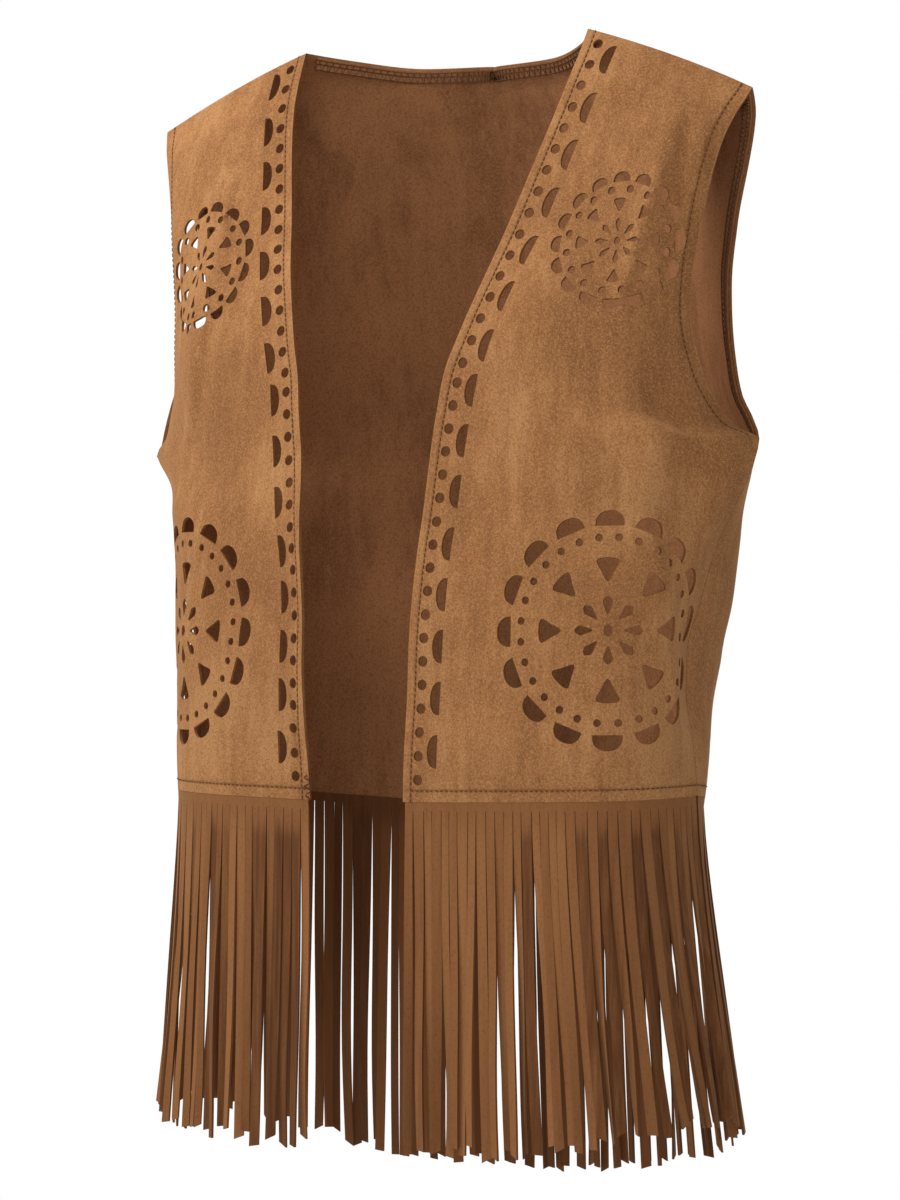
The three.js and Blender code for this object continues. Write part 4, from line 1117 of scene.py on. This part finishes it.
class VestColours(bpy.types.PropertyGroup):
    # Suede light also paints the highlight along the front, neck and armhole edges, and Suede dark paints
    # the shade in the stitch grooves.
    light: colour_prop("Suede light", "Brushed-up nap of the outside", srgb(200, 148, 98))
    mid: colour_prop("Suede", "Main colour of the outside", srgb(164, 112, 69))
    dark: colour_prop("Suede dark", "Brushed-down nap of the outside", srgb(126, 81, 48))
    inside: colour_prop("Inside", "Main colour of the inside", srgb(186, 129, 86))
    inside_dark: colour_prop("Inside dark", "Shaded nap of the inside and the cut edges", srgb(118, 76, 48))
    strand_light: colour_prop("Strand light", "Lightest strands", srgb(156, 106, 66))
    strand: colour_prop("Strand", "Main colour of the strands", srgb(130, 84, 50))
    strand_dark: colour_prop("Strand dark", "Darkest strands", srgb(86, 52, 31))
    thread: colour_prop("Topstitch thread", "Colour of the topstitching", srgb(112, 73, 45))
    overlock: colour_prop("Overlock thread", "Colour of the overlock thread", srgb(116, 76, 50))


MATERIALS = {}


def dress(obj, slot_name, *materials, node=None):
    """Gives an object its materials and its place in the frame."""
    if not obj.data.materials:
        for m in materials:
            obj.data.materials.append(m)
    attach(obj, "root")
    if node:
        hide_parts(node)


# Camera: turn to the wearer's left in degrees, distance and height in metres, lens and sensor
# in millimetres. It looks FOCUS ahead, SHIFT_RIGHT aside and SHIFT_UP upward.
VIEW_TURN, VIEW_FAR, VIEW_HEIGHT = 35, 2.64, -0.3289
FOCUS, SHIFT_RIGHT, SHIFT_UP = 4800, 5.5, 40
LENS, SENSOR = 144, 36

# Lights: name, place and size in metres, power in watts. All face LIGHT_AIM.
LIGHTS = (
    ("key", (-0.8, -0.7, 0.95), 0.7, 19.5),
    ("fill", (2.4, -1.6, 0.1), 1.6, 4.5),
    ("inner", (0.6, -1.5, 0.1), 0.7, 3.9),
    ("rear", (-0.8, 2.4, 0.9), 1.6, 17),
)
LIGHT_AIM = (0, 0, -0.3)
LIGHT_COLOUR = (1.0, 0.98, 0.95)
SKY_LIGHT, SKY_SEEN = 0.34, 1.0
FLOOR_RADIUS, FLOOR_HEIGHT, FLOOR_COLOUR = 2.0, -0.9, (0.9, 0.9, 0.89, 1)


def aim(obj, sight):
    obj.rotation_mode = "QUATERNION"
    obj.rotation_quaternion = sight.to_track_quat("-Z", "Y")


class VEST_OT_stage(bpy.types.Operator):
    """Sets the camera, the soft studio light, the world and the pale floor"""
    bl_idname = "vest.stage"
    bl_label = "Stage"

    def execute(self, context):
        scene = context.scene
        turn = math.radians(VIEW_TURN)
        away = Vector((math.sin(turn), -math.cos(turn), 0))
        right, up = Vector((math.cos(turn), math.sin(turn), 0)), Vector((0, 0, 1))
        data = bpy.data.cameras.new("camera")
        data.lens, data.sensor_width = LENS, SENSOR
        data.clip_start, data.clip_end = 0.05, 60
        camera = linked("camera", data)
        camera.location = away * VIEW_FAR + up * VIEW_HEIGHT
        aim(camera, -away * FOCUS + right * SHIFT_RIGHT + up * SHIFT_UP)
        scene.camera = camera
        for name, place, size, power in LIGHTS:
            lamp = bpy.data.lights.new(name, "AREA")
            lamp.shape, lamp.size, lamp.energy = "DISK", size, power
            lamp.color = LIGHT_COLOUR
            obj = linked(name, lamp)
            obj.location = place
            aim(obj, Vector(LIGHT_AIM) - obj.location)
        bpy.ops.mesh.primitive_circle_add(
            vertices=96, radius=FLOOR_RADIUS, fill_type="NGON", location=(0, 0, FLOOR_HEIGHT))
        floor = context.active_object
        floor.name = "floor"
        paint = bpy.data.materials.new("floor")
        paint.use_nodes = True
        shader = paint.node_tree.nodes["Principled BSDF"]
        shader.inputs["Base Color"].default_value = FLOOR_COLOUR
        shader.inputs["Roughness"].default_value = 0.9
        floor.data.materials.append(paint)
        world = bpy.data.worlds.new("studio")
        world.use_nodes = True
        tree = world.node_tree
        back = tree.nodes["Background"]
        back.inputs["Color"].default_value = (1, 1, 1, 1)
        path = tree.nodes.new("ShaderNodeLightPath")
        level = tree.nodes.new("ShaderNodeMapRange")
        level.inputs["To Min"].default_value, level.inputs["To Max"].default_value = SKY_LIGHT, SKY_SEEN
        tree.links.new(path.outputs["Is Camera Ray"], level.inputs["Value"])
        tree.links.new(level.outputs[0], back.inputs["Strength"])
        scene.world = world
        scene.view_settings.view_transform = "Standard"
        return {"FINISHED"}


class VEST_OT_fronts(bpy.types.Operator):
    """Builds the two cutwork fronts"""
    bl_idname = "vest.fronts"
    bl_label = "Fronts"

    def execute(self, context):
        sizes = context.scene.vest_sizes
        for name in ("right_front", "left_front"):
            obj = panel_object(name, sizes.front_mesh / MM, sizes.wall / MM)
            dress(obj, "suede", *(MATERIALS[k] for k in ("outside", "inside", "cut")), node=name)
        return {"FINISHED"}


class VEST_OT_back(bpy.types.Operator):
    """Builds the back panel"""
    bl_idname = "vest.back"
    bl_label = "Back"

    def execute(self, context):
        sizes = context.scene.vest_sizes
        obj = panel_object("back", sizes.back_mesh / MM, sizes.wall / MM)
        dress(obj, "suede", *(MATERIALS[k] for k in ("outside", "inside", "cut")), node="back")
        return {"FINISHED"}


class VEST_OT_fringe(bpy.types.Operator):
    """Builds the three runs of cut fringe"""
    bl_idname = "vest.fringe"
    bl_label = "Fringe"

    def execute(self, context):
        skins = [MATERIALS[k] for k in ("strand", "strand_inside", "strand_inside")]
        for name in FRINGE_RUNS:
            obj = fringe_object(name, context.scene.vest_sizes)
            dress(obj, "fringe", *skins, node=f"fringe_{name}")
        return {"FINISHED"}


def hem_run(name, low, high, count, lift):
    """Path along the hem's topstitching from one u to another."""
    u, h = np.linspace(low, high, count), np.full(count, HEM_LINE)
    return point_at(name, u, h) + normal_at(name, u, h) * lift


class VEST_OT_topstitch(bpy.types.Operator):
    """Sews the topstitching along the front edges, neck, armholes and hem"""
    bl_idname = "vest.topstitch"
    bl_label = "Topstitching"

    def execute(self, context):
        sizes = context.scene.vest_sizes
        lift = sizes.wall / MM / 2 + 0.12
        arm, edge = np.linspace(SIDE_TOP + 7, TOP - 1, 70), np.linspace(1, TOP - 1, 130)
        runs = []
        for name in ("right_front", "left_front"):
            runs.append(inset_run(name, 0.0, edge, FRONT_LINE, lift))
            runs.append(inset_run(name, 1.0, arm, ARM_LINE, lift))
            runs.append(hem_run(name, 0.02, 0.99, 50, lift))
        for u in (1.0, -1.0):
            runs.append(inset_run("back", u, arm, ARM_LINE, lift))
        runs.append(neck_run(NECK_LINE, lift))
        runs.append(hem_run("back", -0.99, 0.99, 100, lift))
        t = np.linspace(0, 1, 60)[:, None]
        corner = point_at("right_front", 0.0, 9.0) + normal_at("right_front", 0.0, 9.0) * 1.6
        coil = np.concatenate([np.cos(19 * t) * (1.9 - t), np.sin(23 * t) * 1.4, 6 - 16 * t], axis=1)
        thread, radius = MATERIALS["thread"], sizes.thread_radius
        tree, sockets = thread_tree(thread)
        dress(grown("thread_ends", [corner + coil], tree, sockets, thread, Radius=radius * 1.3), "suede")
        tree, sockets = stitch_tree(thread)
        values = dict(Pitch=sizes.stitch_pitch, Length=sizes.stitch_length, Radius=radius)
        dress(grown("topstitching", runs, tree, sockets, thread, **values), "suede")
        return {"FINISHED"}


class VEST_OT_overlock(bpy.types.Operator):
    """Adds the overlocked seam allowance inside the back neck and armholes"""
    bl_idname = "vest.overlock"
    bl_label = "Overlocked edges"

    def execute(self, context):
        sizes = context.scene.vest_sizes
        wide, lift = sizes.overlock_width / MM, -(sizes.wall / MM / 2 + 0.75)

        def arm_run(u):
            def run(inset, rise, count):
                return inset_run("back", u, np.linspace(SIDE_TOP + 5, TOP - 2, count), inset, rise)
            return run

        loops = []
        zigzag = (np.arange(140) % 2 == 0)[:, None]
        for label, run in (("neck", neck_run), ("left_arm", arm_run(1.0)), ("right_arm", arm_run(-1.0))):
            rows = [run(inset, lift, 70) for inset in np.linspace(0.3, wide, 4)]
            band = band_object(f"allowance_{label}", rows, 0.9)
            dress(band, "suede", MATERIALS["inside"], MATERIALS["inside"], MATERIALS["cut"])
            inner, outer = (run(inset, lift - 0.72, 140) for inset in (wide + 0.3, 1.6))
            loops.append(np.where(zigzag, inner, outer))
            loops += [run(inset, lift - 0.8, 140) for inset in (wide - 0.3, wide * 0.5, 1.4)]
        thread = MATERIALS["overlock"]
        tree, sockets = thread_tree(thread)
        obj = grown("overlock_thread", loops, tree, sockets, thread, Radius=sizes.thread_radius * 1.1)
        dress(obj, "suede")
        return {"FINISHED"}


class VEST_OT_declare(bpy.types.Operator):
    """Does nothing and returns at once"""
    bl_idname = "vest.declare"
    bl_label = "State the cloth"

    def execute(self, context):
        return {"FINISHED"}


class VEST_PT_panel(bpy.types.Panel):
    bl_idname = "VEST_PT_panel"
    bl_label = "Fringed vest"
    bl_space_type = "VIEW_3D"
    bl_region_type = "UI"
    bl_category = "Vest"

    def draw(self, context):
        for step in STEPS:
            self.layout.operator(step.bl_idname)
        for group in (context.scene.vest_sizes, context.scene.vest_colours):
            box = self.layout.box()
            for key in group.__annotations__:
                box.prop(group, key)


STEPS = (
    VEST_OT_stage, VEST_OT_fronts, VEST_OT_back, VEST_OT_fringe,
    VEST_OT_topstitch, VEST_OT_overlock, VEST_OT_declare,
)
CLASSES = (VestSizes, VestColours, *STEPS, VEST_PT_panel)


def register():
    for cls in CLASSES:
        bpy.utils.register_class(cls)
    bpy.types.Scene.vest_sizes = bpy.props.PointerProperty(type=VestSizes)
    bpy.types.Scene.vest_colours = bpy.props.PointerProperty(type=VestColours)


def unregister():
    del bpy.types.Scene.vest_colours
    del bpy.types.Scene.vest_sizes
    for cls in reversed(CLASSES):
        bpy.utils.unregister_class(cls)


def main():
    register()
    MATERIALS.update(make_materials(bpy.context.scene.vest_colours))
    bpy.ops.vest.stage()
    bpy.ops.vest.fronts()
    bpy.ops.vest.back()
    bpy.ops.vest.fringe()
    bpy.ops.vest.topstitch()
    bpy.ops.vest.overlock()
    bpy.ops.vest.declare()


if __name__ == "__main__":
    main()
